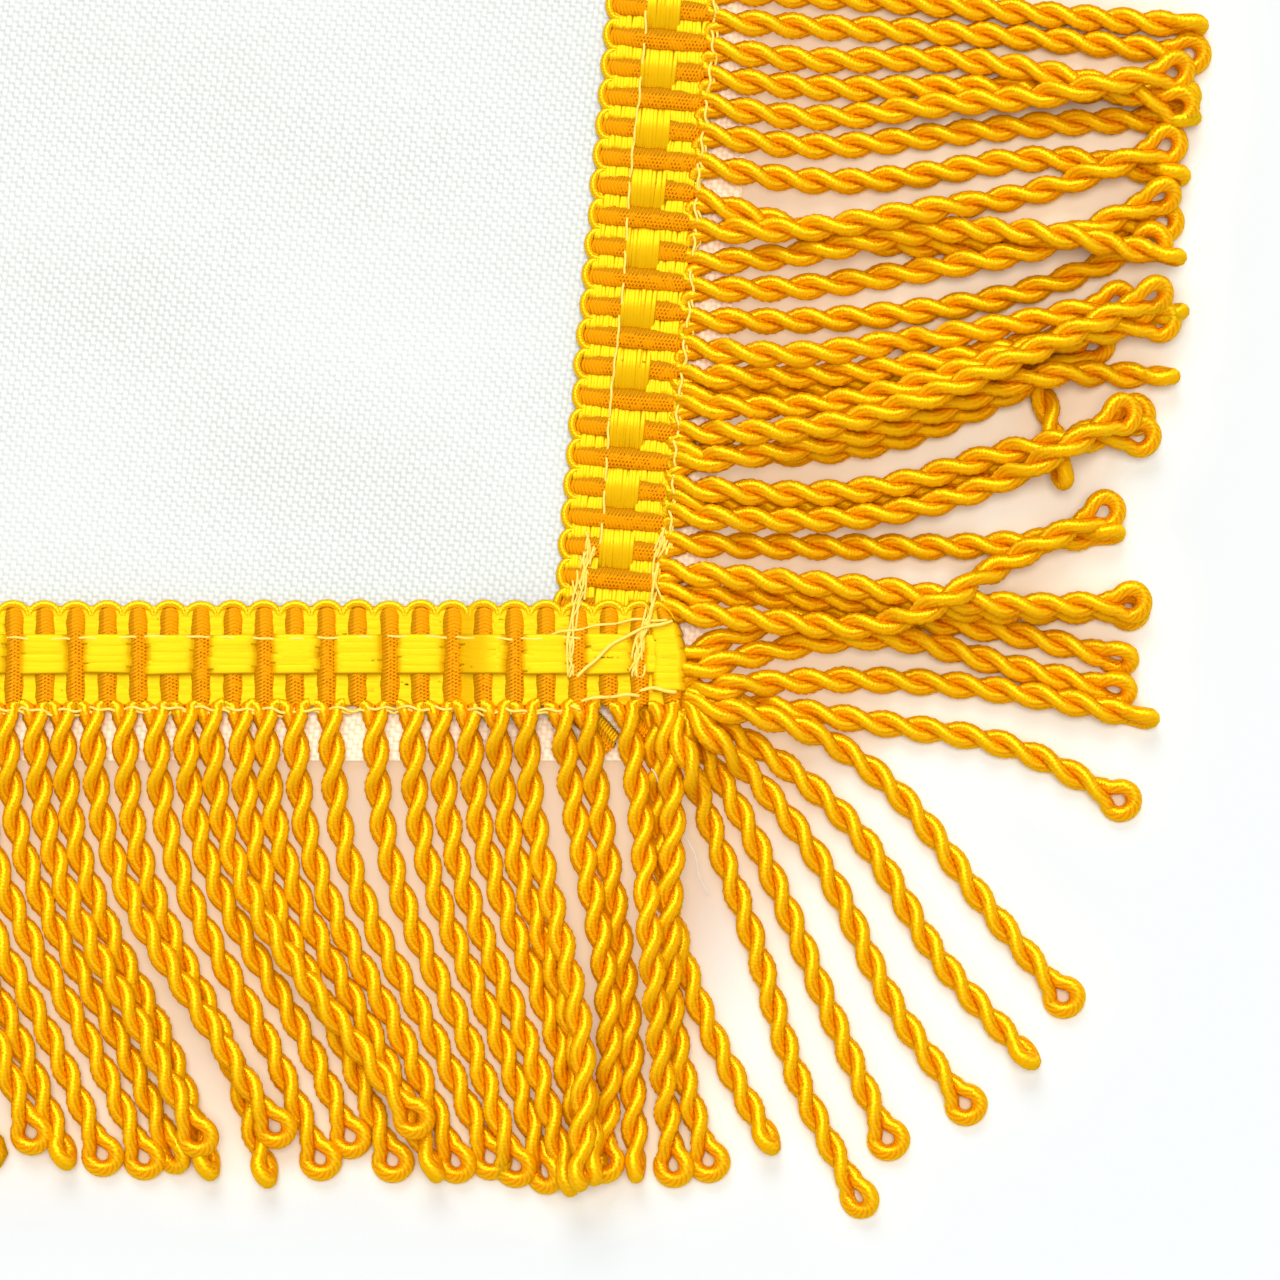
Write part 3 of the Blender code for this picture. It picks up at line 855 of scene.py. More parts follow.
FLY_STRANDS = (
    (9.9, -1, -3, -6, 2, 40.5, 1, 0),
    (11.8, -5, -4, -10, 3, 40.5, 2, 0),
    (14.2, -2, 0, 0, 6, 38.0, 1, 60),
    (16.6, -4, 4, 17, 31, 41.0, 4, 0),
    (17.8, -4, 4, 20, 21, 41.5, 0, 0),
    (19.0, -5, 4, 22, 4, 41.1, 2, 0),
    (20.9, 7, 12, 26, -2, 43.0, 3, 80),
    (21.9, -2, 6, 22, 30, 38.5, 1, 10),
    (23.6, -1, 14, 25, 25, 43.4, 5, 20),
    (25.8, -2, 11, 20, 11, 42.5, 2, 0),
    (26.8, 1, 6, 28, -80, 40.0, 0, 60),
    (28.3, 0, 5, 12, 12, 42.6, 1, 80),
    (30.8, -7, 10, 7, 13, 38.0, 4, 0),
    (33.1, -1, 5, 9, 24, 41.5, 3, 0),
    (35.7, 0, 10, 8, 25, 42.0, 2, 20),
    (37.9, 4, 14, -2, -11, 41.3, 3, 70),
    (40.7, -1, 11, 8, 22, 41.9, 5, 0),
    (43.3, -17, -8, 5, 8, 41.0, 0, 0),
    (46.2, -10, 5, 12, -10, 41.0, 2, 60),
    (48.8, -8, 8, 6, 2, 41.5, 1, 80),
    (51.3, -9, 10, 2, 12, 41.0, 4, 0),
    (53.6, -6, 2, -1, -3, 41.0, 1, 30),
    (56.0, -7, 5, -10, -15, 41.0, 2, 0),
    (58.4, -3, -2, -4, -6, 41.5, 1, 0),
    (60.9, -2, -4, -6, -4, 41.0, 0, 60),
    (63.4, -4, 2, 3, 0, 41.0, 1, 0),
    (65.9, -2, 0, -3, 4, 41.0, 0, 30),
    (68.4, 0, 2, 1, -3, 41.0, 1, 0),
)
CORNER_COLUMNS = ("right_mm", "up_mm") + EDGE_COLUMNS[1:]
CORNER_STRANDS = (
    (1.1, 8.4, -5, -6, 34, 27, 40.5, 6, 0),
    (1.9, 4.2, 26, -2, -6, -14, 39.5, 1, 30),
    (2.1, 3.0, 16, 8, -18, -12, 39.0, 3, 20),
    (2.9, 1.7, 6, 0, -6, -12, 39.5, 4, 60),
    (3.0, 1.0, -6, -9, -7, -29, 39.0, 2, 0),
    (3.0, 0.5, -8, -37, -56, -49, 43.0, 3, 0),
    (2.8, 0.3, -29, -44, -64, -46, 42.5, 2, 90),
    (2.5, 0.0, -43, -54, -69, -52, 42.5, 3, 0),
    (2.0, -0.2, -57, -65, -68, -65, 41.5, 1, 0),
    (1.4, -0.3, -71, -68, -76, -61, 45.2, 2, 20),
    (0.0, -0.3, -88, -84, -70, -61, 38.6, 0, 90),
)


@dataclass
class StrandSet:
    """Strands as arrays, one row for each."""

    roots: Array
    root_heights: Array
    bearings: Array
    lengths: Array
    orders: Array
    turns: Array

    def joined(self, other: StrandSet) -> StrandSet:
        """Both sets, in order."""
        return StrandSet(*map(np.concatenate, zip(vars(self).values(), vars(other).values())))

    def __len__(self) -> int:
        """How many strands there are."""
        return len(self.roots)


@dataclass
class Lay:
    """Lays a set of strands on the floor, on the cloth's edge and on each other."""

    plan: FlagPlan
    stations: int = 61
    contact: float = 2.1 * MM
    cloth_level: float = 0.95 * MM
    cloth_ease: float = 2.2 * MM
    soften: float = 1.6 * MM
    root_blend: float = 5 * MM
    quarter_blend: float = 0.06

    def bearing_weights(self) -> Array:
        """Weights that turn four quarter means into a smooth bearing at each station."""
        share = np.linspace(0, 1, self.stations)
        centres = np.array([0.125, 0.375, 0.625, 0.875])
        weights = np.stack([np.interp(share, centres, row) for row in np.eye(4)], axis=1)
        return gaussian(share, self.quarter_blend) @ weights

    def plan_axes(self, strands: StrandSet) -> Array:
        """Plan of each strand's axis: its bearing summed up along its length."""
        bearing = strands.bearings @ self.bearing_weights().T
        middle = (bearing[:, 1:] + bearing[:, :-1]) / 2
        step = ((strands.lengths - LOOP_LENGTH) / (self.stations - 1))[:, None]
        moves = points_at(run_up(np.cos(middle) * step), run_up(np.sin(middle) * step))
        return strands.roots[:, None] + moves

    def lowest(self, axes: Array) -> Array:
        """Height of an axis that lies on the floor, or over the cloth's edge."""
        x, y = axes[..., 0], axes[..., 1]
        edge = self.plan.cloth_right + self.plan.fly_shift(y + self.plan.edge_y)
        inside = np.minimum(edge - x, self.plan.cloth_top - np.abs(y))
        over = smooth_step((inside + self.cloth_ease) / self.cloth_ease)
        return STRAND_RADIUS + self.cloth_level * over

    def run(self, strands: StrandSet) -> Array:
        """Lay the strands one after another, lowest order first.

        Each station is lifted to where a round cord of the contact width would rest on the strands
        that already lie there, and the lifts are then eased along the strand.

        Args:
            strands: the strands to lay.
        Returns:
            The axes, shaped (strands, stations, 3).
        """
        plan_axes = self.plan_axes(strands)
        level = self.lowest(plan_axes)
        low = plan_axes.min(axis=1) - self.contact
        high = plan_axes.max(axis=1) + self.contact
        done = np.zeros(len(strands), dtype=bool)
        heights = level.copy()
        share = np.linspace(0, 1, self.stations)
        for row in np.argsort(strands.orders, kind="stable"):
            near = done & np.all((low < high[row]) & (high > low[row]), axis=1)
            needed = level[row].copy()
            if near.any():
                others = plan_axes[near].reshape(-1, 2)
                gap = np.linalg.norm(plan_axes[row][:, None] - others[None], axis=-1)
                reach = np.sqrt(np.maximum(self.contact ** 2 - gap ** 2, 0.0))
                rest = np.where(gap < self.contact, heights[near].reshape(-1)[None] + reach, 0.0)
                needed = np.maximum(needed, rest.max(axis=1))
            run = share * strands.lengths[row]
            eased = gaussian(run, self.soften) @ needed
            eased = np.maximum(eased, 0.5 * (eased + needed))
            blend = smooth_step(run / self.root_blend)
            heights[row] = strands.root_heights[row] * (1 - blend) + eased * blend
            done[row] = True
        return np.concatenate([plan_axes, heights[..., None]], axis=2)


@dataclass
class TwistedCords:
    """Two-ply cords along laid axes: one ply down to the tip, round its loop and back up."""

    ply_rings: int
    loop_rings: int
    sides: int
    arch_rings: int
    ply_radius: float = PLY_RADIUS
    loop_swell: float = 0.09 * MM
    opening: float = math.radians(153)
    loop_lift: tuple = (0.40 * MM, 0.10 * MM)
    loop_flat: float = -0.42 * MM
    loop_on_edge: float = 1.05 * MM
    arch_back: float = 0.62 * MM
    arch_drop: float = 0.36 * MM

    @classmethod
    def for_detail(cls, detail: Detail) -> TwistedCords:
        """Fine cords for the corner, lighter ones for the rest."""
        if detail is Detail.CORNER:
            return cls(ply_rings=72, loop_rings=18, sides=10, arch_rings=5)
        return cls(ply_rings=28, loop_rings=6, sides=3, arch_rings=2, ply_radius=PLY_RADIUS * 1.12)

    def paths(self, strands: StrandSet, axes: Array) -> tuple[Array, Array]:
        """Centre of the ply, and the middle that it turns round.

        A ply is its strand's axis plus a circle that turns once for each FULL_TURN. The loop is most
        of a circle of LOOP_RADIUS, drawn in to the two plies where it opens, and it settles on the floor.
        At the root each end leaves its neighbour's as a quarter of an ellipse, half a pitch wide.

        Args:
            strands: the strands.
            axes: their axes as laid.
        Returns:
            Two arrays shaped (strands, rings, 3).
        """
        share = np.linspace(0, 1, self.ply_rings)
        spot = share * (axes.shape[1] - 1)
        base = np.minimum(spot.astype(int), axes.shape[1] - 2)
        part = (spot - base)[None, :, None]
        axis = axes[:, base] * (1 - part) + axes[:, base + 1] * part
        tangent = unit(np.gradient(axis, axis=1))
        sideways = unit(np.cross(ABOVE, tangent))
        upward = np.cross(tangent, sideways)
        reach = strands.lengths - LOOP_LENGTH
        halves = np.round((2 * math.pi * reach / FULL_TURN - strands.turns) / math.pi)
        phase = strands.turns[:, None] - (halves * math.pi + strands.turns)[:, None] * (1 - share)
        circle = np.cos(phase)[..., None] * sideways + np.sin(phase)[..., None] * upward
        down = axis + PLY_OFFSET * circle
        back = axis - PLY_OFFSET * circle

        tip, ahead, beside = axis[:, -1:], tangent[:, -1:], circle[:, -1:]
        turned = np.cross(ahead, beside)
        run = np.linspace(0, 1, self.loop_rings + 2)[None, 1:-1, None]
        angle = self.opening * (1 - 2 * run)
        forward = LOOP_LENGTH - LOOP_RADIUS + LOOP_RADIUS * np.cos(angle)
        lateral = LOOP_RADIUS * np.sin(angle)
        once, twice = self.loop_lift
        lift = once * np.sin(2 * math.pi * run) + twice * np.sin(4 * math.pi * run)
        middle = tip + 0.55 * forward * ahead
        loop = tip + forward * ahead + lateral * beside + lift * turned
        edge_on = np.abs(np.sin(strands.turns))[:, None, None]
        settle = (self.loop_flat + self.loop_on_edge * edge_on) * np.sin(math.pi * run)
        loop = loop + settle * ABOVE
        loop[..., 2] = np.maximum(loop[..., 2], self.ply_radius * 1.02)

        corner = np.linspace(math.pi / 2, 0, self.arch_rings + 1)[None, :-1, None]
        hand = np.sign(np.sum(circle[:, :1] * sideways[:, :1], axis=-1, keepdims=True))
        out = (PLY_OFFSET + (STRAND_PITCH / 2 - PLY_OFFSET) * (1 - np.cos(corner))) * hand
        behind = -np.sin(corner) * (self.arch_back * tangent[:, :1] + self.arch_drop * ABOVE)
        start = axis[:, :1] + behind + out * sideways[:, :1]
        end = (axis[:, :1] + behind - out * sideways[:, :1])[:, ::-1]
        still = np.broadcast_to(axis[:, :1], start.shape) + behind
        path = np.concatenate([start, down, loop, back[:, ::-1], end], axis=1)
        centre = np.concatenate([still, axis, middle, axis[:, ::-1], still[:, ::-1]], axis=1)
        return path, centre

    def add_to(self, patchwork: Patchwork, strands: StrandSet, axes: Array) -> None:
        """Sweep the plies and add them."""
        path, centre = self.paths(strands, axes)
        thick = np.full(path.shape[1], self.ply_radius)
        first = self.arch_rings + self.ply_rings
        share = np.linspace(0, 1, self.loop_rings)
        thick[first:first + self.loop_rings] += self.loop_swell * np.sin(math.pi * share)
        points, uv = swept(path, path - centre, thick, thick, self.sides)
        points[..., 2] = np.maximum(points[..., 2], 0.02 * MM)
        patchwork.add(points, around_uv(uv, self.sides), wrap=True)


@dataclass
class Fringe:
    """All strands of the flag, as sets for each edge and detail."""

    plan: FlagPlan
    seed: int = 7
    axis_rise: float = 0.66 * MM
    usual_length: float = 41.2 * MM
    length_spread: float = 0.5 * MM
    bottom_lean: tuple = (2, 23, 32, 24)
    fly_lean: tuple = (0.4, 1.0, 1.2, 1.3)
    top_lean: tuple = (2, 22, 30, 20)
    fan_radius: float = 4.6 * MM

    @staticmethod
    def lift(x: Array, edge: float) -> Array:
        """Rise of a level heading where it passes over the fly heading, whose outer edge is at edge."""
        ramp_start = edge - HEADING_WIDTH - 2 * RAMP_LENGTH
        return HEADING_LIFT * np.clip((x - ramp_start) / RAMP_LENGTH, 0.0, 1.0)

    def from_rows(self, rows: Sequence[tuple], columns: Sequence[str], side: Side | None) -> StrandSet:
        """Strands of a table of the photographed corner.

        Args:
            rows: the table.
            columns: names of its columns.
            side: their edge, or None for those round the corner.
        Returns:
            The strands.
        """
        plan = self.plan
        table = dict(zip(columns, np.array(rows, dtype=float).T))
        quarters = np.stack([table[f"quarter_{number}"] for number in (1, 2, 3, 4)], axis=1)
        if side is Side.BOTTOM:
            x = plan.corner_x - table["root_mm"] * MM
            y = -plan.edge_y
            rise = self.lift(x, plan.corner_x)
            quarters = quarters - 90
        elif side is Side.FLY:
            height = table["root_mm"] * MM
            x = plan.fly_x + plan.fly_shift(height)
            y = height - plan.edge_y
            rise = np.zeros(len(rows))
        else:
            x = plan.corner_x + table["right_mm"] * MM
            y = table["up_mm"] * MM - plan.edge_y
            rise = HEADING_LIFT * (0.15 + 0.2 * (table["order"] % 4))
        return StrandSet(
            points_at(x, y), HEADING_LOW + self.axis_rise + rise, np.radians(quarters),
            table["length_mm"] * MM, table["order"], np.radians(table["turn"]),
        )

    def row(self, roots: Array, base_bearing: Array, rise: Array, seed: int, wander: float) -> StrandSet:
        """Strands of a plain stretch, each a little off its neighbours.

        Args:
            roots: where they start, in plan.
            base_bearing: the four quarter bearings of each, in degrees.
            rise: lift of the heading at each root.
            seed: seed of this stretch.
            wander: spread of the bearings, in degrees.
        Returns:
            The strands.
        """
        draw = np.random.default_rng(self.seed + seed)
        count = len(roots)
        whole = draw.normal(0.0, wander, (count, 1))
        swing = whole + draw.normal(0.0, wander, (count, 4)) * np.array([0.3, 0.8, 1.2, 1.8])
        lengths = self.usual_length + draw.normal(0.0, self.length_spread, count)
        turns = np.radians(draw.choice([0, 20, 60, 90], count, p=[0.45, 0.2, 0.15, 0.2]))
        orders = draw.random(count)
        heights = HEADING_LOW + self.axis_rise + rise
        return StrandSet(roots, heights, np.radians(base_bearing + swing), lengths, orders, turns)

    def bottom_rest(self) -> StrandSet:
        """Bottom strands beyond the corner, whose lean dies away towards the hoist and wavers a little."""
        first = BOTTOM_STRANDS[-1][0] * MM + STRAND_PITCH
        last = self.plan.corner_x - self.plan.flange_x - STRAND_PITCH / 2
        distance = np.arange(first, last, STRAND_PITCH)
        x = self.plan.corner_x - distance
        lean = 1 - 0.75 * smooth_step((distance - 75 * MM) / (300 * MM))
        waver = smooth_step((distance - 150 * MM) / (200 * MM))
        lean = lean + 0.08 * np.sin(distance / (45 * MM)) * waver
        bearings = -90 + lean[:, None] * self.bottom_lean
        roots = points_at(x, -self.plan.edge_y)
        return self.row(roots, bearings, self.lift(x, self.plan.corner_x), 1, 1.6)

    def fly_rest(self) -> StrandSet:
        """Fly strands above the photographed ones, swaying as a sine up the edge."""
        first = FLY_STRANDS[-1][0] * MM + STRAND_PITCH
        last = 2 * self.plan.edge_y - HEADING_WIDTH - STRAND_PITCH / 2
        height = np.arange(first, last, STRAND_PITCH)
        sway = 1 + 1.2 * np.sin(height / (40 * MM))
        bearings = sway[:, None] * self.fly_lean
        x = self.plan.fly_x + self.plan.fly_shift(height)
        roots = points_at(x, height - self.plan.edge_y)
        return self.row(roots, bearings, np.zeros_like(height), 2, 2.4)

    def top_rest(self) -> StrandSet:
        """Top strands, nearly straight, and a fan of nine round the plain upper corner."""
        first = self.plan.flange_x + STRAND_PITCH / 2
        last = self.plan.fly_x + END_OVERHANG - STRAND_PITCH
        x = np.arange(first, last, STRAND_PITCH)
        distance = self.plan.fly_x - x
        lean = 0.12 + 0.10 * np.sin(distance / (55 * MM))
        bearings = 90 - lean[:, None] * self.top_lean
        roots = points_at(x, self.plan.edge_y)
        straight = self.row(roots, bearings, self.lift(x, self.plan.fly_x), 3, 2.0)
        angle = np.radians(90 - 90 * np.linspace(0, 1, 11)[1:-1])
        centre = np.array([self.plan.fly_x + END_OVERHANG - 5 * MM, self.plan.edge_y - 5 * MM])
        roots = centre + self.fan_radius * points_at(np.cos(angle), np.sin(angle))
        bearings = np.degrees(angle)[:, None] + np.array([0, -2, 1, 2])
        fan = self.row(roots, bearings, np.full(len(angle), HEADING_LIFT * 0.5), 4, 2.0)
        return straight.joined(fan)

    def build(self, finishes: Finishes) -> list[tuple[bpy.types.Object, str]]:
        """Lay every strand at once, then make one piece for each edge and detail.

        Args:
            finishes: the flag's finishes.
        Returns:
            Each piece with the node that it stands for.
        """
        bottom = self.from_rows(BOTTOM_STRANDS, EDGE_COLUMNS, Side.BOTTOM)
        corner = self.from_rows(CORNER_STRANDS, CORNER_COLUMNS, None)
        fly = self.from_rows(FLY_STRANDS, EDGE_COLUMNS, Side.FLY)
        sets = (
            ("bottom_strands_corner", "fringe_bottom", Detail.CORNER, bottom),
            ("corner_strands", "fringe_bottom", Detail.CORNER, corner),
            ("fly_strands_corner", "fringe_fly", Detail.CORNER, fly),
            ("bottom_strands", "fringe_bottom", Detail.REST, self.bottom_rest()),
            ("fly_strands", "fringe_fly", Detail.REST, self.fly_rest()),
            ("top_strands", "fringe_top", Detail.REST, self.top_rest()),
        )
        axes = Lay(self.plan).run(reduce(StrandSet.joined, (strands for *_, strands in sets)))
        pieces = []
        start = 0
        for name, node, detail, strands in sets:
            patchwork = Patchwork()
            TwistedCords.for_detail(detail).add_to(patchwork, strands, axes[start:start + len(strands)])
            start += len(strands)
            pieces.append((patchwork.piece(name, finishes.cord), node))
        return pieces


@dataclass
class Heading:
    """Braid heading of one edge: base, ribs, float threads, cord arches and the two rows of stitches.

    Its own coordinates run along the edge from the fly corner, across it from the strands towards the
    arches, and up from the cloth. The threads' shape is their half width as a share of their pitch, their
    half height and the spread of their rise.
    """

    side: Side
    plan: FlagPlan
    corner_length: float
    first_rib: float
    rib_pitch: float
    lower_row: tuple = (0.70 * MM, 3.55 * MM)
    middle_row: tuple = (3.45 * MM, 6.20 * MM)
    upper_row: tuple = (6.25 * MM, 8.55 * MM)
    thread_pitch: float = 0.27 * MM
    thread_shape: tuple = (0.74, 0.09 * MM, 0.02)
    rib_half: float = 0.86 * MM
    rib_foot: float = 0.30 * MM
    rib_rise: float = 0.48 * MM
    arch_top: float = 9.42 * MM
    arch_reach: float = 1.24 * MM
    arch_rise: float = 1.02 * MM
    arch_cord: float = 0.34 * MM
    float_low: float = 0.36 * MM
    float_spreads: tuple = (0.06 * MM, 0.035 * MM)
    fly_inset: float = 1.2 * MM
    end_inset: float = 2.2 * MM
    end_dip: float = 0.7 * MM

    @classmethod
    def around(cls, plan: FlagPlan) -> tuple[Heading, ...]:
        """The headings of the three fringed edges, each fine as far as the photo shows it."""
        return (
            cls(
                Side.BOTTOM, plan, corner_length=66 * MM, first_rib=1.60 * MM, rib_pitch=2.655 * MM,
                thread_shape=(1.6, 0.05 * MM, 0.008),
            ),
            cls(
                Side.FLY, plan, corner_length=66 * MM, first_rib=2.04 * MM, rib_pitch=2.54 * MM,
                lower_row=(0.55 * MM, 3.15 * MM), middle_row=(3.05 * MM, 5.85 * MM),
                upper_row=(5.95 * MM, 8.60 * MM), rib_half=0.90 * MM, arch_reach=1.18 * MM,
                arch_rise=0.85 * MM,
            ),
            cls(Side.TOP, plan, corner_length=12 * MM, first_rib=1.60 * MM, rib_pitch=2.655 * MM),
        )

    @property
    def length(self) -> float:
        """Length of the heading along its edge."""
        if self.side is Side.FLY:
            return 2 * (self.plan.edge_y - self.fly_inset)
        return self.end_x - self.plan.flange_x

    @property
    def end_x(self) -> float:
        """Free end of a level heading at the fly."""
        start = self.plan.corner_x if self.side is Side.BOTTOM else self.plan.fly_x
        return start + END_OVERHANG

    def place(self, points: Array) -> Array:
        """Frame places of points in the heading's own coordinates.

        The fly heading follows its edge's slope. A level one is lifted where it passes over the fly
        heading, and its free end is rounded off and pressed down.
        """
        along, across, up = points.T
        if self.side is Side.FLY:
            height = along + self.fly_inset
            slope = self.plan.fly_slope(height)
            stretch = np.hypot(1, slope)
            x = self.plan.fly_x + self.plan.fly_shift(height) - across / stretch
            y = height - self.plan.edge_y + across * slope / stretch
            return points_at(x, y, HEADING_LOW + up)
        near = np.clip(1 - along / (4.0 * MM), 0.0, 1.0)
        inset = self.end_inset * np.clip((across - 4.4 * MM) / (5.0 * MM), 0.0, 1.0) ** 2 * near
        x = self.end_x - along - inset
        y = self.plan.edge_y - across
        up = up - self.end_dip * np.clip(1 - along / (0.8 * MM), 0.0, 1.0) ** 2
        start = self.end_x - END_OVERHANG - HEADING_WIDTH - 2 * RAMP_LENGTH
        lift = HEADING_LIFT * smooth_step((x - start) / RAMP_LENGTH)
        if self.side is Side.BOTTOM:
            y = -y
        return points_at(x, y, HEADING_LOW + lift + up)

    def ribs(self, detail: Detail) -> tuple[Array, Array]:
        """Places of the ribs of one stretch along the edge, and whether each is a short one."""
        index = np.arange(int((self.length - self.first_rib) / self.rib_pitch) + 1)
        place = self.first_rib + index * self.rib_pitch
        short = index % 2 == 0
        wanted = (place < self.corner_length) == (detail is Detail.CORNER)
        return place[wanted], short[wanted]

    def add_tubes(
        self, patchwork: Patchwork, path: Array, side: Array, width: Array | float, height: Array | float,
        sides: int, turned: bool = False,
    ) -> None:
        """Sweep tubes in the heading's own coordinates and add them, facing out after the placing.

        Args:
            patchwork: what they are added to.
            path: centres, shaped (tubes, rings, 3).
            side: direction of the width, for each ring or for all.
            width: half of the width.
            height: half of the height.
            sides: points of each ring.
            turned: whether the second coordinate is the share of the turn, as on a cord.
        """
        points, uv = swept(path, side, width, height, sides)
        if turned:
            uv = around_uv(uv, sides)
        if self.side is Side.BOTTOM:
            points = np.concatenate([points[:, :, :1], points[:, :, :0:-1]], axis=2)
            uv = uv[:, :, ::-1]
        patchwork.add(points, uv, wrap=True)

    def add_base(self, patchwork: Patchwork) -> None:
        """Closed band under the braid, its coordinates those of a rib's ochre flank above the pinholes."""
        section = np.array([(0.55, 0.0), (0.55, 0.55), (8.9, 0.55), (8.9, 0.0)]) * MM
        split = self.corner_length
        for start, end, step in ((0.25 * MM, split, 0.66 * MM), (split, self.length, 1.32 * MM)):
            along = np.linspace(start, end, int((end - start) / step) + 1)
            points = np.zeros((1, len(along), 4, 3))
            points[..., 0] = along[:, None]
            points[..., 1:] = section
            if self.side is not Side.BOTTOM:
                points = points[:, :, ::-1]
            patchwork.add(points, np.broadcast_to((9.0, 0.6), (1, len(along), 5, 2)), wrap=True)

    def add_ribs(self, patchwork: Patchwork, detail: Detail) -> None:
        """Raised ribs from the strands to the arches, tapering into the base at both ends."""
        place, _ = self.ribs(detail)
        rings, sides = (24, 12) if detail is Detail.CORNER else (5, 4)
        share = np.linspace(0, 1, rings)
        draw = np.random.default_rng(11)
        wander = draw.normal(0, 0.06 * MM, (len(place), 1)) * np.sin(math.pi * share)
        lean = draw.normal(0, 0.05 * MM, (len(place), 1)) * share
        across = self.rib_foot + (self.arch_top - 0.55 * MM - self.rib_foot) * share
        up = (0.54 + 0.10 * np.sin(math.pi * share)) * MM
        path = points_at(place[:, None] + wander + lean, across, up)
        fade = np.sqrt(np.clip(1 - (2 * share - 1) ** 14, 0.03, 1))
        waves = 1 + 0.05 * np.sin(2 * math.pi * across / (1.9 * MM) + place[:, None] / MM)
        width = self.rib_half * fade * waves
        self.add_tubes(patchwork, path, ALONG, width, self.rib_rise * fade, sides)

    def add_arches(self, patchwork: Patchwork, detail: Detail) -> None:
        """Arch of cord over the top of each rib: half an ellipse with two short legs that sink in."""
        place, _ = self.ribs(detail)
        fine = detail is Detail.CORNER
        turn = np.linspace(-0.12, 1.12, 17 if fine else 5)
        angle = math.pi * np.clip(turn, 0, 1)
        leg = np.maximum(-turn, turn - 1).clip(0) / 0.12
        radius = self.arch_cord
        centre = self.arch_top - radius - self.arch_rise
        draw = np.random.default_rng(31)
        tall = 1 + draw.normal(0, 0.05, (len(place), 1))
        path = points_at(
            place[:, None] + self.arch_reach * np.cos(angle),
            centre + self.arch_rise * np.sin(angle) * tall - 0.35 * MM * leg,
            (0.46 + 0.12 * np.sin(angle) - 0.22 * leg) * MM,
        )
        middle = points_at(place, centre, 0.0)[:, None]
        self.add_tubes(patchwork, path, path - middle, radius, radius, 9 if fine else 4, turned=True)

    def add_bundles(
        self, patchwork: Patchwork, centre: Array, reach: float, row: tuple, rise: float, detail: Detail,
        seed: int, flatness: float = 8.0, tilt: float = 0.0,
    ) -> None:
        """Float threads side by side across a row: rise * (1 - |share| ** flatness) - tilt * share.

        Args:
            patchwork: what they are added to.
            centre: places along the edge of the bundles' middles.
            reach: half of a thread's length.
            row: where the row starts and ends across the heading.
            rise: height of a thread's middle over its ends.
            detail: single threads at the corner, and one broad one elsewhere.
            seed: seed of the threads' small differences.
            flatness: how long a thread stays level before it dips.
            tilt: how much higher its near end lies than its middle.
        """
        fine = detail is Detail.CORNER
        draw = np.random.default_rng(seed)
        count = max(int(round((row[1] - row[0]) / self.thread_pitch)), 1) if fine else 1
        rings, sides = (9, 6) if fine else (4, 4)
        share = np.linspace(-1, 1, rings)
        share = np.sign(share) * np.abs(share) ** 0.5
        width = (row[1] - row[0]) / count
        cover, thick, uneven = self.thread_shape
        across = row[0] + width * (np.arange(count) + 0.5)
        total = (len(centre), count, 1)
        ends = drift = tall = np.zeros((1, 1, 1))
        if fine:
            spreads = (*self.float_spreads, uneven)
            ends, drift, tall = (draw.normal(0, spread, total) for spread in spreads)
        along = centre[:, None, None] + ends + (reach + draw.normal(0, 0.07 * MM, total)) * share
        arch = self.float_low + rise * (1 + tall) * (1 - np.abs(share) ** flatness) - tilt * share
        path = points_at(along, across[None, :, None] + drift * (1 + share), arch).reshape(-1, rings, 3)
        height = thick if fine else 0.2 * MM
        self.add_tubes(patchwork, path, ACROSS, cover * width, height, sides)

    def add_floats(self, patchwork: Patchwork, detail: Detail) -> None:
        """Threads between neighbouring ribs, and over each short rib in the middle row.

        On the fly edge the short threads climb from under one rib onto the next one below.
        """
        place, short = self.ribs(detail)
        between = place + self.rib_pitch / 2
        level = self.side is not Side.FLY
        half = self.rib_pitch / 2 - 0.50 * self.rib_half
        wide = self.rib_pitch - (0.52 if level else 0.60) * self.rib_half
        tilt = 0.0 if level else 0.20 * MM
        rise, flatness = (0.76 * MM, 12.0) if level else (0.84 * MM, 1.25)
        if not level:
            between = between - 0.10 * MM
        self.add_bundles(patchwork, between, half, self.upper_row, 0.36 * MM, detail, 23, tilt=tilt)
        self.add_bundles(patchwork, between, half, self.lower_row, 0.34 * MM, detail, 29, tilt=tilt)
        over = place[short]
        if self.side is Side.BOTTOM and detail is Detail.CORNER:
            end, inner = np.array([1.85 * MM]), np.array([2.9 * MM])
            self.add_bundles(patchwork, end, 1.45 * MM, (2.0 * MM, 7.2 * MM), 0.76 * MM, detail, 41, 12.0)
            self.add_bundles(patchwork, inner, 1.1 * MM, self.middle_row, 0.70 * MM, detail, 43)
            over = over[1:]
        self.add_bundles(patchwork, over, wide, self.middle_row, rise, detail, 37, flatness)

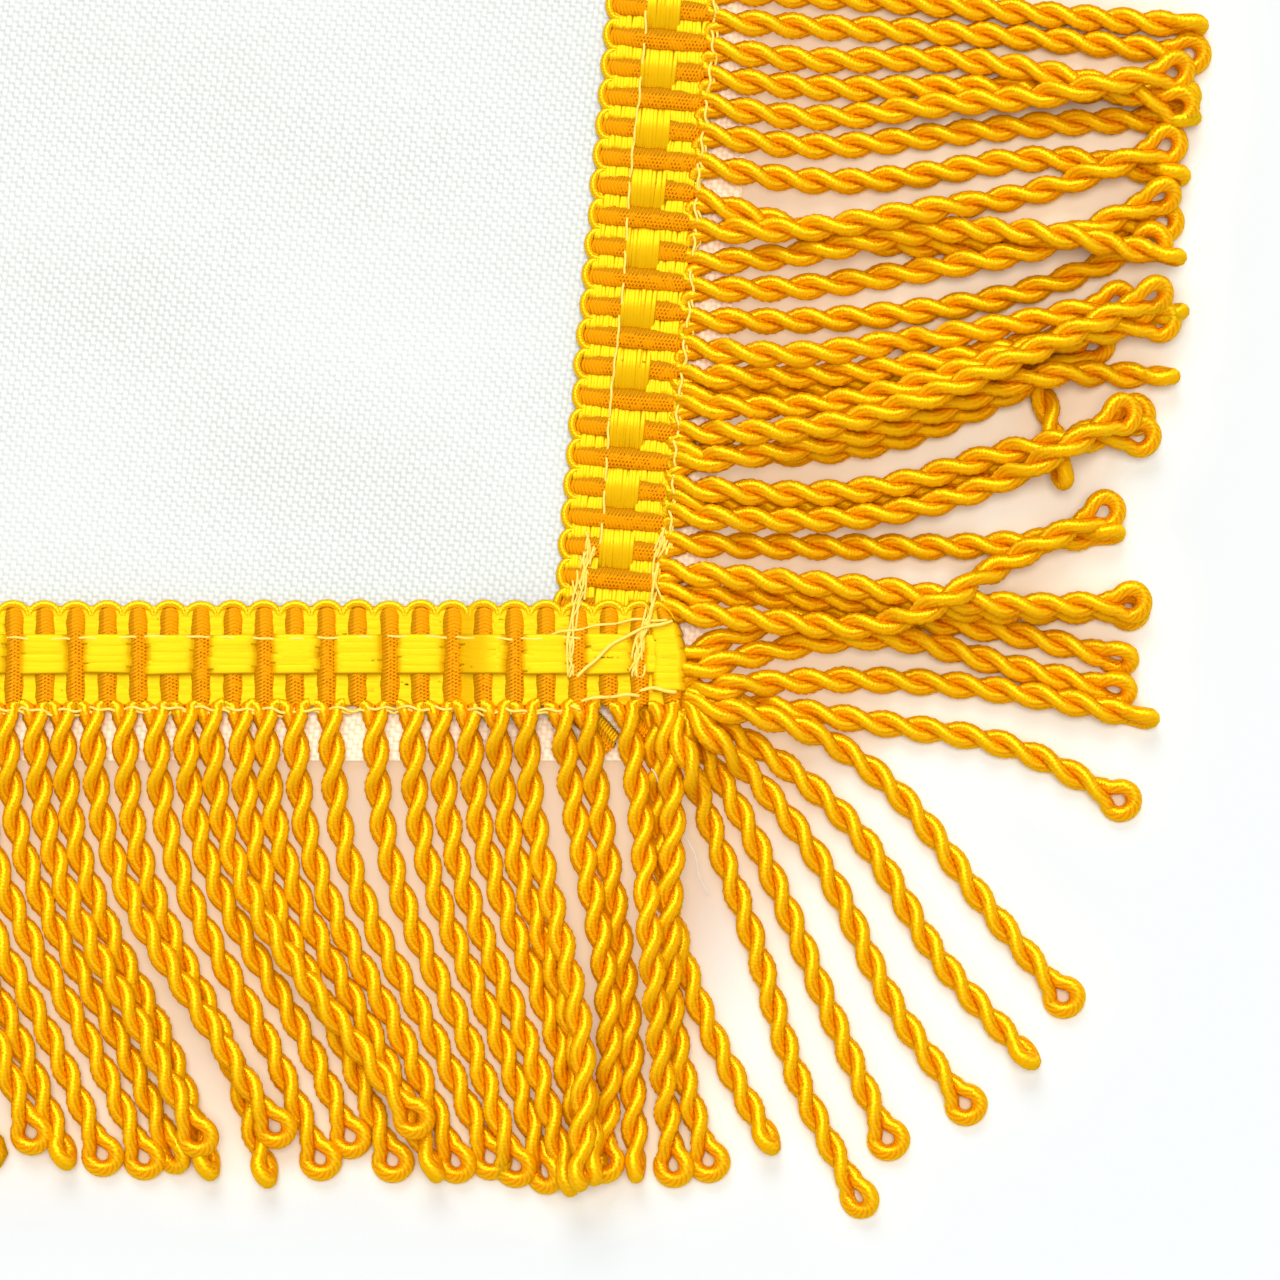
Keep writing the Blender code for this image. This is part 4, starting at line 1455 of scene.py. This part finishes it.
    def add_stitches(self, patchwork: Patchwork) -> None:
        """Lock stitches: a thin row half sunk between the float rows, and a knotty one over the roots.

        Each thread's height is the root of a rectified sine, so it dips into the braid at its needle
        holes, and each stitch slants a little across the row. A thread's row holds its place across in
        millimetres, phase, low and rise, half width, slant and stitch length.
        """
        split = self.corner_length
        first = {Side.BOTTOM: 9.3 * MM, Side.FLY: 12.0 * MM, Side.TOP: 0.4 * MM}[self.side]
        rows = (
            (self.upper_row[0] / MM - 0.03, 0.0, 0.70, 0.42, 0.115, 0.10, 2.9),
            (0.16, 0.4, 0.50, 0.80, 0.125, 0.30, 2.9),
            (-0.08, 0.9, 0.42, 0.62, 0.12, 0.34, 1.9),
        )
        for row, phase, low, rise, thick, slant, stitch in rows:
            for start, end, step in ((first, split, 0.2 * MM), (split, self.length, 1.4 * MM)):
                along = np.linspace(start, max(end, start + MM), int(max(end - start, MM) / step) + 1)
                count = along / (stitch * MM) + phase
                wave = np.abs(np.sin(math.pi * count))
                part = np.mod(count, 1.0)
                uneven = 1 + 0.8 * np.sin(2.7 * np.floor(count))
                sway = slant * uneven * (part - 0.5) * smooth_step(wave * 2.5)
                sway = sway + 0.10 * np.sin(along / (3.1 * MM))
                sway = sway + slant * 0.35 * np.sin(along / (0.31 * MM) + row)
                path = points_at(along, (row + sway) * MM, (low + rise * wave ** 0.5) * MM)[None]
                sides = 6 if step < MM else 3
                self.add_tubes(patchwork, path, ACROSS, thick * MM, 0.8 * thick * MM, sides)

    def build(self, finishes: Finishes) -> list[bpy.types.Object]:
        """Make the heading's pieces: its ribs on their base, floats, arches and stitches."""
        name = f"{self.side.value}_heading"
        braid, floats, arches, thread = (Patchwork() for _ in range(4))
        self.add_base(braid)
        for detail in Detail:
            self.add_ribs(braid, detail)
            self.add_floats(floats, detail)
            self.add_arches(arches, detail)
        self.add_stitches(thread)
        return [
            braid.piece(f"{name}_ribs", finishes.gimp, self.place),
            floats.piece(f"{name}_floats", finishes.floats, self.place),
            arches.piece(f"{name}_arches", finishes.arches, self.place),
            thread.piece(f"{name}_stitches", finishes.sewing, self.place),
        ]


@dataclass
class CornerSewing:
    """Hand sewing that holds the bottom heading on the fly heading at the photographed corner.

    Its lines are given in millimetres right of and above the corner of the headings' outer edges.
    """

    plan: FlagPlan
    surface: float = 1.02 * MM
    bundle_length: float = 14.5
    stitch_reach: tuple = (1.5, 3.2)
    thread_half: float = 0.10 * MM
    cut_half: float = 0.16 * MM
    clear_half: float = 0.06 * MM
    bend_share: float = 0.06
    left_bundle: tuple = ((-5.3, 16.2), (-5.8, 13.2), (-6.6, 9.4), (-7.1, 6.0), (-7.3, 2.3))
    right_bundle: tuple = ((0.9, 16.2), (0.2, 12.8), (-0.2, 9.4), (-0.5, 8.2), (-1.3, 6.0), (-1.8, 2.3))
    inner_row: tuple = ((-9.2, 6.3), (-8.0, 6.7), (-5.5, 7.1), (-1.3, 7.8), (1.5, 7.6))
    lower_row: tuple = ((-6.4, 0.8), (-4.7, 1.2), (-2.5, 1.35), (-1.1, 1.3))
    end_row: tuple = ((-1.4, 1.7), (0.0, 1.95), (1.9, 1.6))
    tail: tuple = ((-6.9, 2.6), (-5.5, 3.9), (-4.2, 5.2), (-2.5, 6.4), (-0.4, 7.2), (1.1, 7.55), (1.9, 7.7))
    filament: tuple = ((-0.6, -4.4), (0.1, -5.6), (0.9, -7.6), (2.6, -10.2), (4.6, -16.2))
    cut_end: tuple = ((-6.7, -0.3), (-5.2, -1.7), (-3.7, -3.4))
    cut_stub: tuple = ((-2.3, -0.2), (-1.2, -1.5), (0.0, -2.9))

    def top(self, up: Array) -> Array:
        """Height of the braid's surface: the bottom heading's, then the fly heading's above it."""
        return HEADING_LOW + self.surface + HEADING_LIFT * (1 - smooth_step((up - 9.0 * MM) / (1.2 * MM)))

    def along(self, line: tuple, spots: Array) -> tuple[Array, Array]:
        """Places right and up at shares of a line's length, eased round its bends."""
        points = np.array(line) * MM
        run = run_up(np.linalg.norm(np.diff(points, axis=0), axis=1))
        share = np.linspace(0, run[-1], 60)
        spread = gaussian(share, self.bend_share * run[-1])
        right = spread @ np.interp(share, run, points[:, 0])
        above = spread @ np.interp(share, run, points[:, 1])
        wanted = spots * run[-1]
        return np.interp(wanted, share, right), np.interp(wanted, share, above)

    def threads(
        self, patchwork: Patchwork, right: Array, above: Array, height: Array, half: float,
        half_height: float | None = None, side: tuple = (1.0, 0.35, 0.0), sides: int = 7,
    ) -> None:
        """Add threads through places right of and above the corner.

        Args:
            patchwork: what they are added to.
            right: places to the right of the corner, shaped (threads, rings).
            above: places above it.
            height: heights above the floor.
            half: half of a thread's width.
            half_height: half of its height, or None for a nearly round one.
            side: direction of its width.
            sides: points of each ring.
        """
        path = points_at(self.plan.corner_x + right, above - self.plan.edge_y, height)
        points, uv = swept(path, np.array(side), half, half_height or 0.85 * half, sides)
        patchwork.add(points, uv, wrap=True)

    def add_bundle(self, patchwork: Patchwork, line: tuple, count: int, seed: int) -> None:
        """Short overlapping stitches along a line, each a low arch between its needle holes."""
        draw = np.random.default_rng(seed)
        start = np.sort(draw.uniform(0.0, 0.88, count))[:, None]
        reach = draw.uniform(*self.stitch_reach, (count, 1)) / self.bundle_length
        share = np.linspace(0, 1, 9)[None]
        right, above = self.along(line, np.clip(start + reach * share, 0, 1))
        sway = draw.normal(0, 0.30, (count, 1)) * (1 - share) + draw.normal(0, 0.30, (count, 1)) * share
        sway = sway + draw.normal(0, 0.10, (count, 1)) * np.sin(math.pi * share)
        rise = draw.uniform(0.15, 0.38, (count, 1)) * np.sin(math.pi * share) ** 0.6
        height = self.top(above) + (-0.15 + rise) * MM
        self.threads(patchwork, right + sway * MM, above, height, self.thread_half)

    def add_line(
        self, patchwork: Patchwork, line: tuple, radius: float, lift: float, stitch: float
    ) -> None:
        """One thread along a line that dips at its needle holes, or that lies free where stitch is 0."""
        share = np.linspace(0, 1, 61)
        right, above = self.along(line, share)
        run = run_up(np.hypot(np.diff(right), np.diff(above)))
        arch = np.abs(np.sin(math.pi * run / stitch)) ** 0.5 if stitch else 0.8 + 0.2 * np.sin(9 * share)
        height = self.top(above) + lift * arch - 0.1 * MM
        above = above + 0.07 * MM * np.sin(run / (0.5 * MM))
        self.threads(patchwork, right[None], above[None], height[None], radius)

    def braid_end(self, patchwork: Patchwork, line: tuple, half: float) -> None:
        """Cut end of the fly heading: a rib of gimp that dives under the strands."""
        share = np.linspace(0, 1, 20)[None]
        right, above = self.along(line, share)
        height = (2.30 - 0.60 * share) * MM
        self.threads(patchwork, right, above, height, half, 0.34 * MM, (0.75, 0.66, 0.0), 12)

    def cut_threads(self, patchwork: Patchwork, line: tuple) -> None:
        """Row of short threads that stand beside a cut end, each a low arch across it."""
        share = np.linspace(0, 1, 14)[:, None]
        reach = np.linspace(-0.5, 0.5, 7)[None]
        right, above = self.along(line, 0.05 + 0.85 * share)
        right = right + (0.62 + 0.55 * reach) * MM
        above = above + (0.72 + 0.75 * reach) * MM
        height = (1.95 + 0.4 * (1 - np.abs(2 * reach) ** 3)) * MM - 0.5 * MM * share
        self.threads(patchwork, right, above, height, self.cut_half)

    def add_filament(self, patchwork: Patchwork) -> None:
        """Clear filament that lies loose over the strands, a line with a small wave."""
        share = np.linspace(0, 1, 80)[None]
        right, above = self.along(self.filament, share)
        right = right + 0.12 * MM * np.sin(share * 21)
        self.threads(patchwork, right, above, (3.0 - 1.2 * share) * MM, self.clear_half)

    def build(self, finishes: Finishes) -> list[bpy.types.Object]:
        """Make the sewing, the cut ends and the loose filament."""
        sewing, ends, combs, clear = (Patchwork() for _ in range(4))
        self.add_bundle(sewing, self.left_bundle, 34, 51)
        self.add_bundle(sewing, self.right_bundle, 38, 53)
        self.add_line(sewing, self.inner_row, 0.12 * MM, 0.24 * MM, 2.8 * MM)
        self.add_line(sewing, self.lower_row, 0.16 * MM, 0.35 * MM, 2.4 * MM)
        self.add_line(sewing, self.end_row, 0.17 * MM, 0.42 * MM, 0.0)
        self.add_line(sewing, self.tail, 0.155 * MM, 0.55 * MM, 0.0)
        for line, half in ((self.cut_end, 0.72 * MM), (self.cut_stub, 0.60 * MM)):
            self.braid_end(ends, line, half)
            self.cut_threads(combs, line)
        self.add_filament(clear)
        return [
            sewing.piece("corner_sewing", finishes.sewing),
            ends.piece("fly_heading_cut_end", finishes.gimp),
            # The cut threads take the arch cord's finish, with its painted highlight and painted shade.
            combs.piece("fly_heading_cut_threads", finishes.arches),
            clear.piece("loose_filament", finishes.clear),
        ]


@dataclass
class ClothPieces:
    """Field, canton, cross and pole sleeve as thin sheets on their solids' folds."""

    plan: FlagPlan
    thickness: float = 0.40 * MM
    top: float = 0.95 * MM
    fine_step: float = 2.5 * MM
    coarse_step: float = 16 * MM
    fine_reach: float = 110 * MM
    relief_reach: float = 120 * MM
    swell: float = 0.16 * MM
    pucker: float = 0.10 * MM
    pucker_pitch: float = 7.3 * MM
    under_ease: float = 1.5 * MM
    cross_lift: float = 0.75 * MM
    fold_radius: float = 1.2 * MM
    sleeve_room: float = 6.6 * MM

    def fine_relief(self, x: Array, y: Array) -> Array:
        """Low swells about 20 mm apart near the photographed corner, and puckers along its seams."""
        corner = np.hypot(x - self.plan.corner_x, y + self.plan.edge_y)
        fade = 1 - smooth_step((corner - self.relief_reach) / (80 * MM))
        slant = (x * 0.5 + y * 0.87) / (20 * MM)
        cross = (x * 0.87 - y * 0.5) / (34 * MM)
        swell = np.sin(2 * math.pi * slant + 0.8 * np.sin(2 * math.pi * cross)) * self.swell
        beyond = y + self.plan.edge_y - HEADING_WIDTH
        pucker = self.pucker * np.sin(2 * math.pi * x / self.pucker_pitch)
        seam = np.exp(-np.maximum(beyond, 0) / (5 * MM)) * pucker
        covered = smooth_step(beyond / (2 * MM))
        return fade * (swell + seam) * covered

    def lines(self, low: float, high: float, near: float) -> Array:
        """Grid lines that are close together about near and far apart elsewhere."""
        points = [low]
        while points[-1] < high:
            away = abs(points[-1] - near)
            share = float(smooth_step((away - self.fine_reach) / (60 * MM)))
            points.append(points[-1] + self.fine_step * (1 - share) + self.coarse_step * share)
        lines = np.array(points)
        return low + (lines - low) * (high - low) / (lines[-1] - low)

    @staticmethod
    def middles(x: Array, y: Array) -> list[Array]:
        """Places of the middles of a grid's cells."""
        return np.meshgrid((x[1:] + x[:-1]) / 2, (y[1:] + y[:-1]) / 2, indexing="ij")

    def thicken(self, piece: bpy.types.Object, offset: float) -> None:
        """Give a sheet its thickness, below it at an offset of -1 and to both sides at 0."""
        wall = piece.modifiers.new("Cloth thickness", "SOLIDIFY")
        wall.thickness = self.thickness
        wall.offset = offset

    def sheet(
        self, name: str, x: Array, y: Array, keep: Array, level: float, material: bpy.types.Material
    ) -> bpy.types.Object:
        """Sheet on a grid of lines, with its thickness added below.

        Args:
            name: the piece's name.
            x: places of the grid's lines along the flag.
            y: places of its lines up the flag.
            keep: which of its cells the sheet has.
            level: height of its upper face where the cloth lies flat.
            material: its finish.
        Returns:
            The new object.
        """
        columns, rows = np.meshgrid(x, y, indexing="ij")
        height = self.plan.ripple(columns, rows) + level + self.fine_relief(columns, rows)
        plan_x, plan_y = self.plan.on_cloth(columns, rows)
        points = points_at(plan_x, plan_y, height)
        index = np.arange(height.size).reshape(height.shape)
        quads = np.stack([index[:-1, :-1], index[1:, :-1], index[1:, 1:], index[:-1, 1:]], axis=-1)
        used, compact = np.unique(quads[keep], return_inverse=True)
        mesh = bpy.data.meshes.new(name)
        mesh.from_pydata(points.reshape(-1, 3)[used].tolist(), [], compact.reshape(-1, 4).tolist())
        mesh.polygons.foreach_set("use_smooth", np.ones(len(mesh.polygons), dtype=bool))
        mesh.materials.append(material)
        beyond_fly = plan_x - self.plan.fly_x - self.plan.fly_shift(plan_y + self.plan.edge_y)
        beyond = np.maximum(np.abs(plan_y) - self.plan.edge_y, beyond_fly)
        under = smooth_step(beyond.reshape(-1)[used] / self.under_ease + 1.6)
        layer = mesh.attributes.new(UNDER_FRINGE, "FLOAT", "POINT")
        layer.data.foreach_set("value", under.astype(np.float32))
        piece = placed(name, mesh)
        self.thicken(piece, -1.0)
        piece.modifiers.new("Flat up to its edges", "WEIGHTED_NORMAL")
        return piece

    def field_piece(self, finishes: Finishes) -> bpy.types.Object:
        """White field, let out for the canton."""
        plan = self.plan
        x = self.lines(plan.cloth_left, plan.cloth_right, plan.corner_x)
        y = self.lines(-plan.cloth_top, plan.cloth_top, -plan.edge_y)
        x[np.argmin(np.abs(x - plan.canton_right))] = plan.canton_right
        y[np.argmin(np.abs(y - plan.canton_bottom))] = plan.canton_bottom
        middle_x, middle_y = self.middles(x, y)
        keep = (middle_x > plan.canton_right) | (middle_y < plan.canton_bottom)
        return self.sheet("field_cloth", x, y, keep, self.top, finishes.white)

    def canton_piece(self, finishes: Finishes) -> bpy.types.Object:
        """Blue canton."""
        plan = self.plan
        x = np.linspace(plan.cloth_left, plan.canton_right, 34)
        y = np.linspace(plan.canton_bottom, plan.cloth_top, 31)
        keep = np.ones((len(x) - 1, len(y) - 1), dtype=bool)
        return self.sheet("canton_cloth", x, y, keep, self.top, finishes.blue)

    def cross_piece(self, finishes: Finishes) -> bpy.types.Object:
        """Red cross laid on the canton, its arms read from its solid's box."""
        low, high = self.plan.cross_low[:2], self.plan.cross_high[:2]
        half = CROSS_BAR / 2
        middle = (low[0] + high[0]) / 2
        arm = low[1] + (high[1] - low[1]) * CROSS_ARM_SHARE
        x, y = (
            np.concatenate([
                np.linspace(start, centre - half, lines)[:-1],
                np.linspace(centre - half, centre + half, 5)[:-1],
                np.linspace(centre + half, end, 6),
            ])
            for start, centre, end, lines in ((low[0], middle, high[0], 6), (low[1], arm, high[1], 12))
        )
        middle_x, middle_y = self.middles(x, y)
        keep = (np.abs(middle_x - middle) < half) | (np.abs(middle_y - arm) < half)
        return self.sheet("cross_cloth", x, y, keep, self.top + self.cross_lift, finishes.red)

    def sleeve_piece(self, finishes: Finishes) -> bpy.types.Object:
        """Pole sleeve: a strip folded double, puffed a little, with its flange on the field.

        Its section is a level floor, half an ellipse at the fold, an arch that is a power of a sine over
        the pole's room, and the flange. It is carried up the hoist with two small waves in its height.
        """
        low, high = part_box("pole_sleeve")
        seam = self.plan.cloth_left
        inner = low[0] + 0.3 * MM + self.fold_radius
        share = np.linspace(0, 1, 25)
        room = self.sleeve_room * np.sin(math.pi * share) ** 0.8
        turn = np.linspace(-math.pi / 2, -3 * math.pi / 2, 7)[1:-1]
        flange = np.linspace(seam - 2 * MM, high[0] - 0.2 * MM, 6)
        over = inner + (seam - 4 * MM - inner) * share
        profile = np.concatenate([
            points_at(np.linspace(seam - 0.5 * MM, inner, 14), 0.5 * MM),
            points_at(inner + self.fold_radius * np.cos(turn), self.fold_radius + 0.7 * MM * np.sin(turn)),
            points_at(over, 1.75 * MM + room + 0.1 * MM * share),
            points_at(flange, 1.85 * MM),
        ])
        rows = np.linspace(low[1], high[1], 45)
        swing = 0.5 * MM * np.sin(rows / (37 * MM)) + 0.35 * MM * np.sin(rows / (13 * MM) + 1.0)
        loose = np.clip((profile[:, 1] - 1.9 * MM) / (4 * MM), 0, 1)
        height = profile[None, :, 1] + swing[:, None] * loose[None]
        points = points_at(profile[None, :, 0], rows[:, None], height)[None]
        patchwork = Patchwork()
        patchwork.add(points, points[..., :2] / MM, wrap=False)
        piece = patchwork.piece("sleeve_cloth", finishes.white)
        self.thicken(piece, 0.0)
        return piece


@dataclass
class Studio:
    """Pale floor, soft light from the top of the photo, and the camera over the corner."""

    plan: FlagPlan
    finishes: Finishes
    floor_half: float = 40.0
    lens_mm: float = 250.0
    sensor_mm: float = 36.0
    fill: tuple = (1.0, 0.92, 0.82, 1.0)
    fill_strength: float = 0.60

    def floor(self) -> None:
        """Large pale floor at the surface that the flag lies on."""
        ends = np.array([-self.floor_half, self.floor_half])
        points = np.stack(np.meshgrid(ends, ends, [0.0]), axis=-1).reshape(1, 2, 2, 3)
        patchwork = Patchwork()
        patchwork.add(points, points[..., :2], wrap=False)
        patchwork.piece("studio_floor", self.finishes.floor)

    def lights(self) -> None:
        """A matt lamp and one for gloss alone from the photo's top, a matt one at the lens, and a fill."""
        cool, warm_light = (0.97, 1.05, 1.12), (1.03, 0.98, 0.92)
        lamps = (
            ("Key", 1.3, 30, -42, -8, cool),
            ("Gloss key", 3.3, 54, -42, -8, (1.0, 1.0, 1.0)),
            ("Lens light", 2.5, 24, -4, 0, warm_light),
        )
        for name, strength, spread, tip, lean, tint in lamps:
            sun = bpy.data.lights.new(name, "SUN")
            sun.energy = strength
            sun.angle = math.radians(spread)
            sun.color = tint
            lamp = placed(name, sun)
            lamp.rotation_euler = (math.radians(tip), math.radians(lean), 0.0)
            lamp.visible_glossy = name == "Gloss key"
            lamp.visible_diffuse = name != "Gloss key"
        world = bpy.data.worlds.new("Even fill")
        world.use_nodes = True
        background = world.node_tree.nodes["Background"]
        background.inputs[0].default_value = self.fill
        background.inputs[1].default_value = self.fill_strength
        bpy.context.scene.world = world
        bpy.context.scene.view_settings.view_transform = "Standard"

    def camera(self) -> None:
        """Long lens straight down, its width the photo's."""
        data = bpy.data.cameras.new("Camera")
        data.lens = self.lens_mm
        data.sensor_width = self.sensor_mm
        data.clip_start = 0.01
        camera = placed("Camera", data)
        middle = PHOTO_WIDTH_PX / 2
        camera.location = (
            self.plan.corner_x + (middle - CORNER_PX[0]) * PHOTO_PX,
            -self.plan.edge_y + (CORNER_PX[1] - middle) * PHOTO_PX,
            PHOTO_WIDTH_PX * PHOTO_PX * self.lens_mm / self.sensor_mm + 2 * MM,
        )
        bpy.context.scene.camera = camera


def declare(piece: bpy.types.Object, node: str) -> None:
    """Attach a piece to the body that it rides on, hide the node that it stands for, and log its count of
    faces.
    """
    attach(piece, BODY)
    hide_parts(node)
    LOG.info("%s: %d faces", piece.name, len(piece.data.polygons))


def main() -> None:
    """Build the flag's looks around the frame."""
    logging.basicConfig(level=logging.INFO, format="%(message)s")
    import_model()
    plan = FlagPlan.from_frame()
    finishes = Finishes.build(plan)
    studio = Studio(plan, finishes)
    studio.camera()
    studio.floor()
    studio.lights()

    cloth = ClothPieces(plan)
    makers = (cloth.field_piece, cloth.canton_piece, cloth.cross_piece, cloth.sleeve_piece)
    field_cloth, canton, cross, sleeve = (make(finishes) for make in makers)
    declare(field_cloth, "field")
    declare(canton, "canton")
    declare(cross, "cross")
    declare(sleeve, "pole_sleeve")

    trim = []
    for heading in Heading.around(plan):
        trim += [(piece, f"fringe_{heading.side.value}") for piece in heading.build(finishes)]
    trim += [(piece, "fringe_bottom") for piece in CornerSewing(plan).build(finishes)]
    trim += Fringe(plan).build(finishes)
    for piece, node in trim:
        declare(piece, node)

    bpy.context.view_layer.update()


if __name__ == "__main__":
    main()
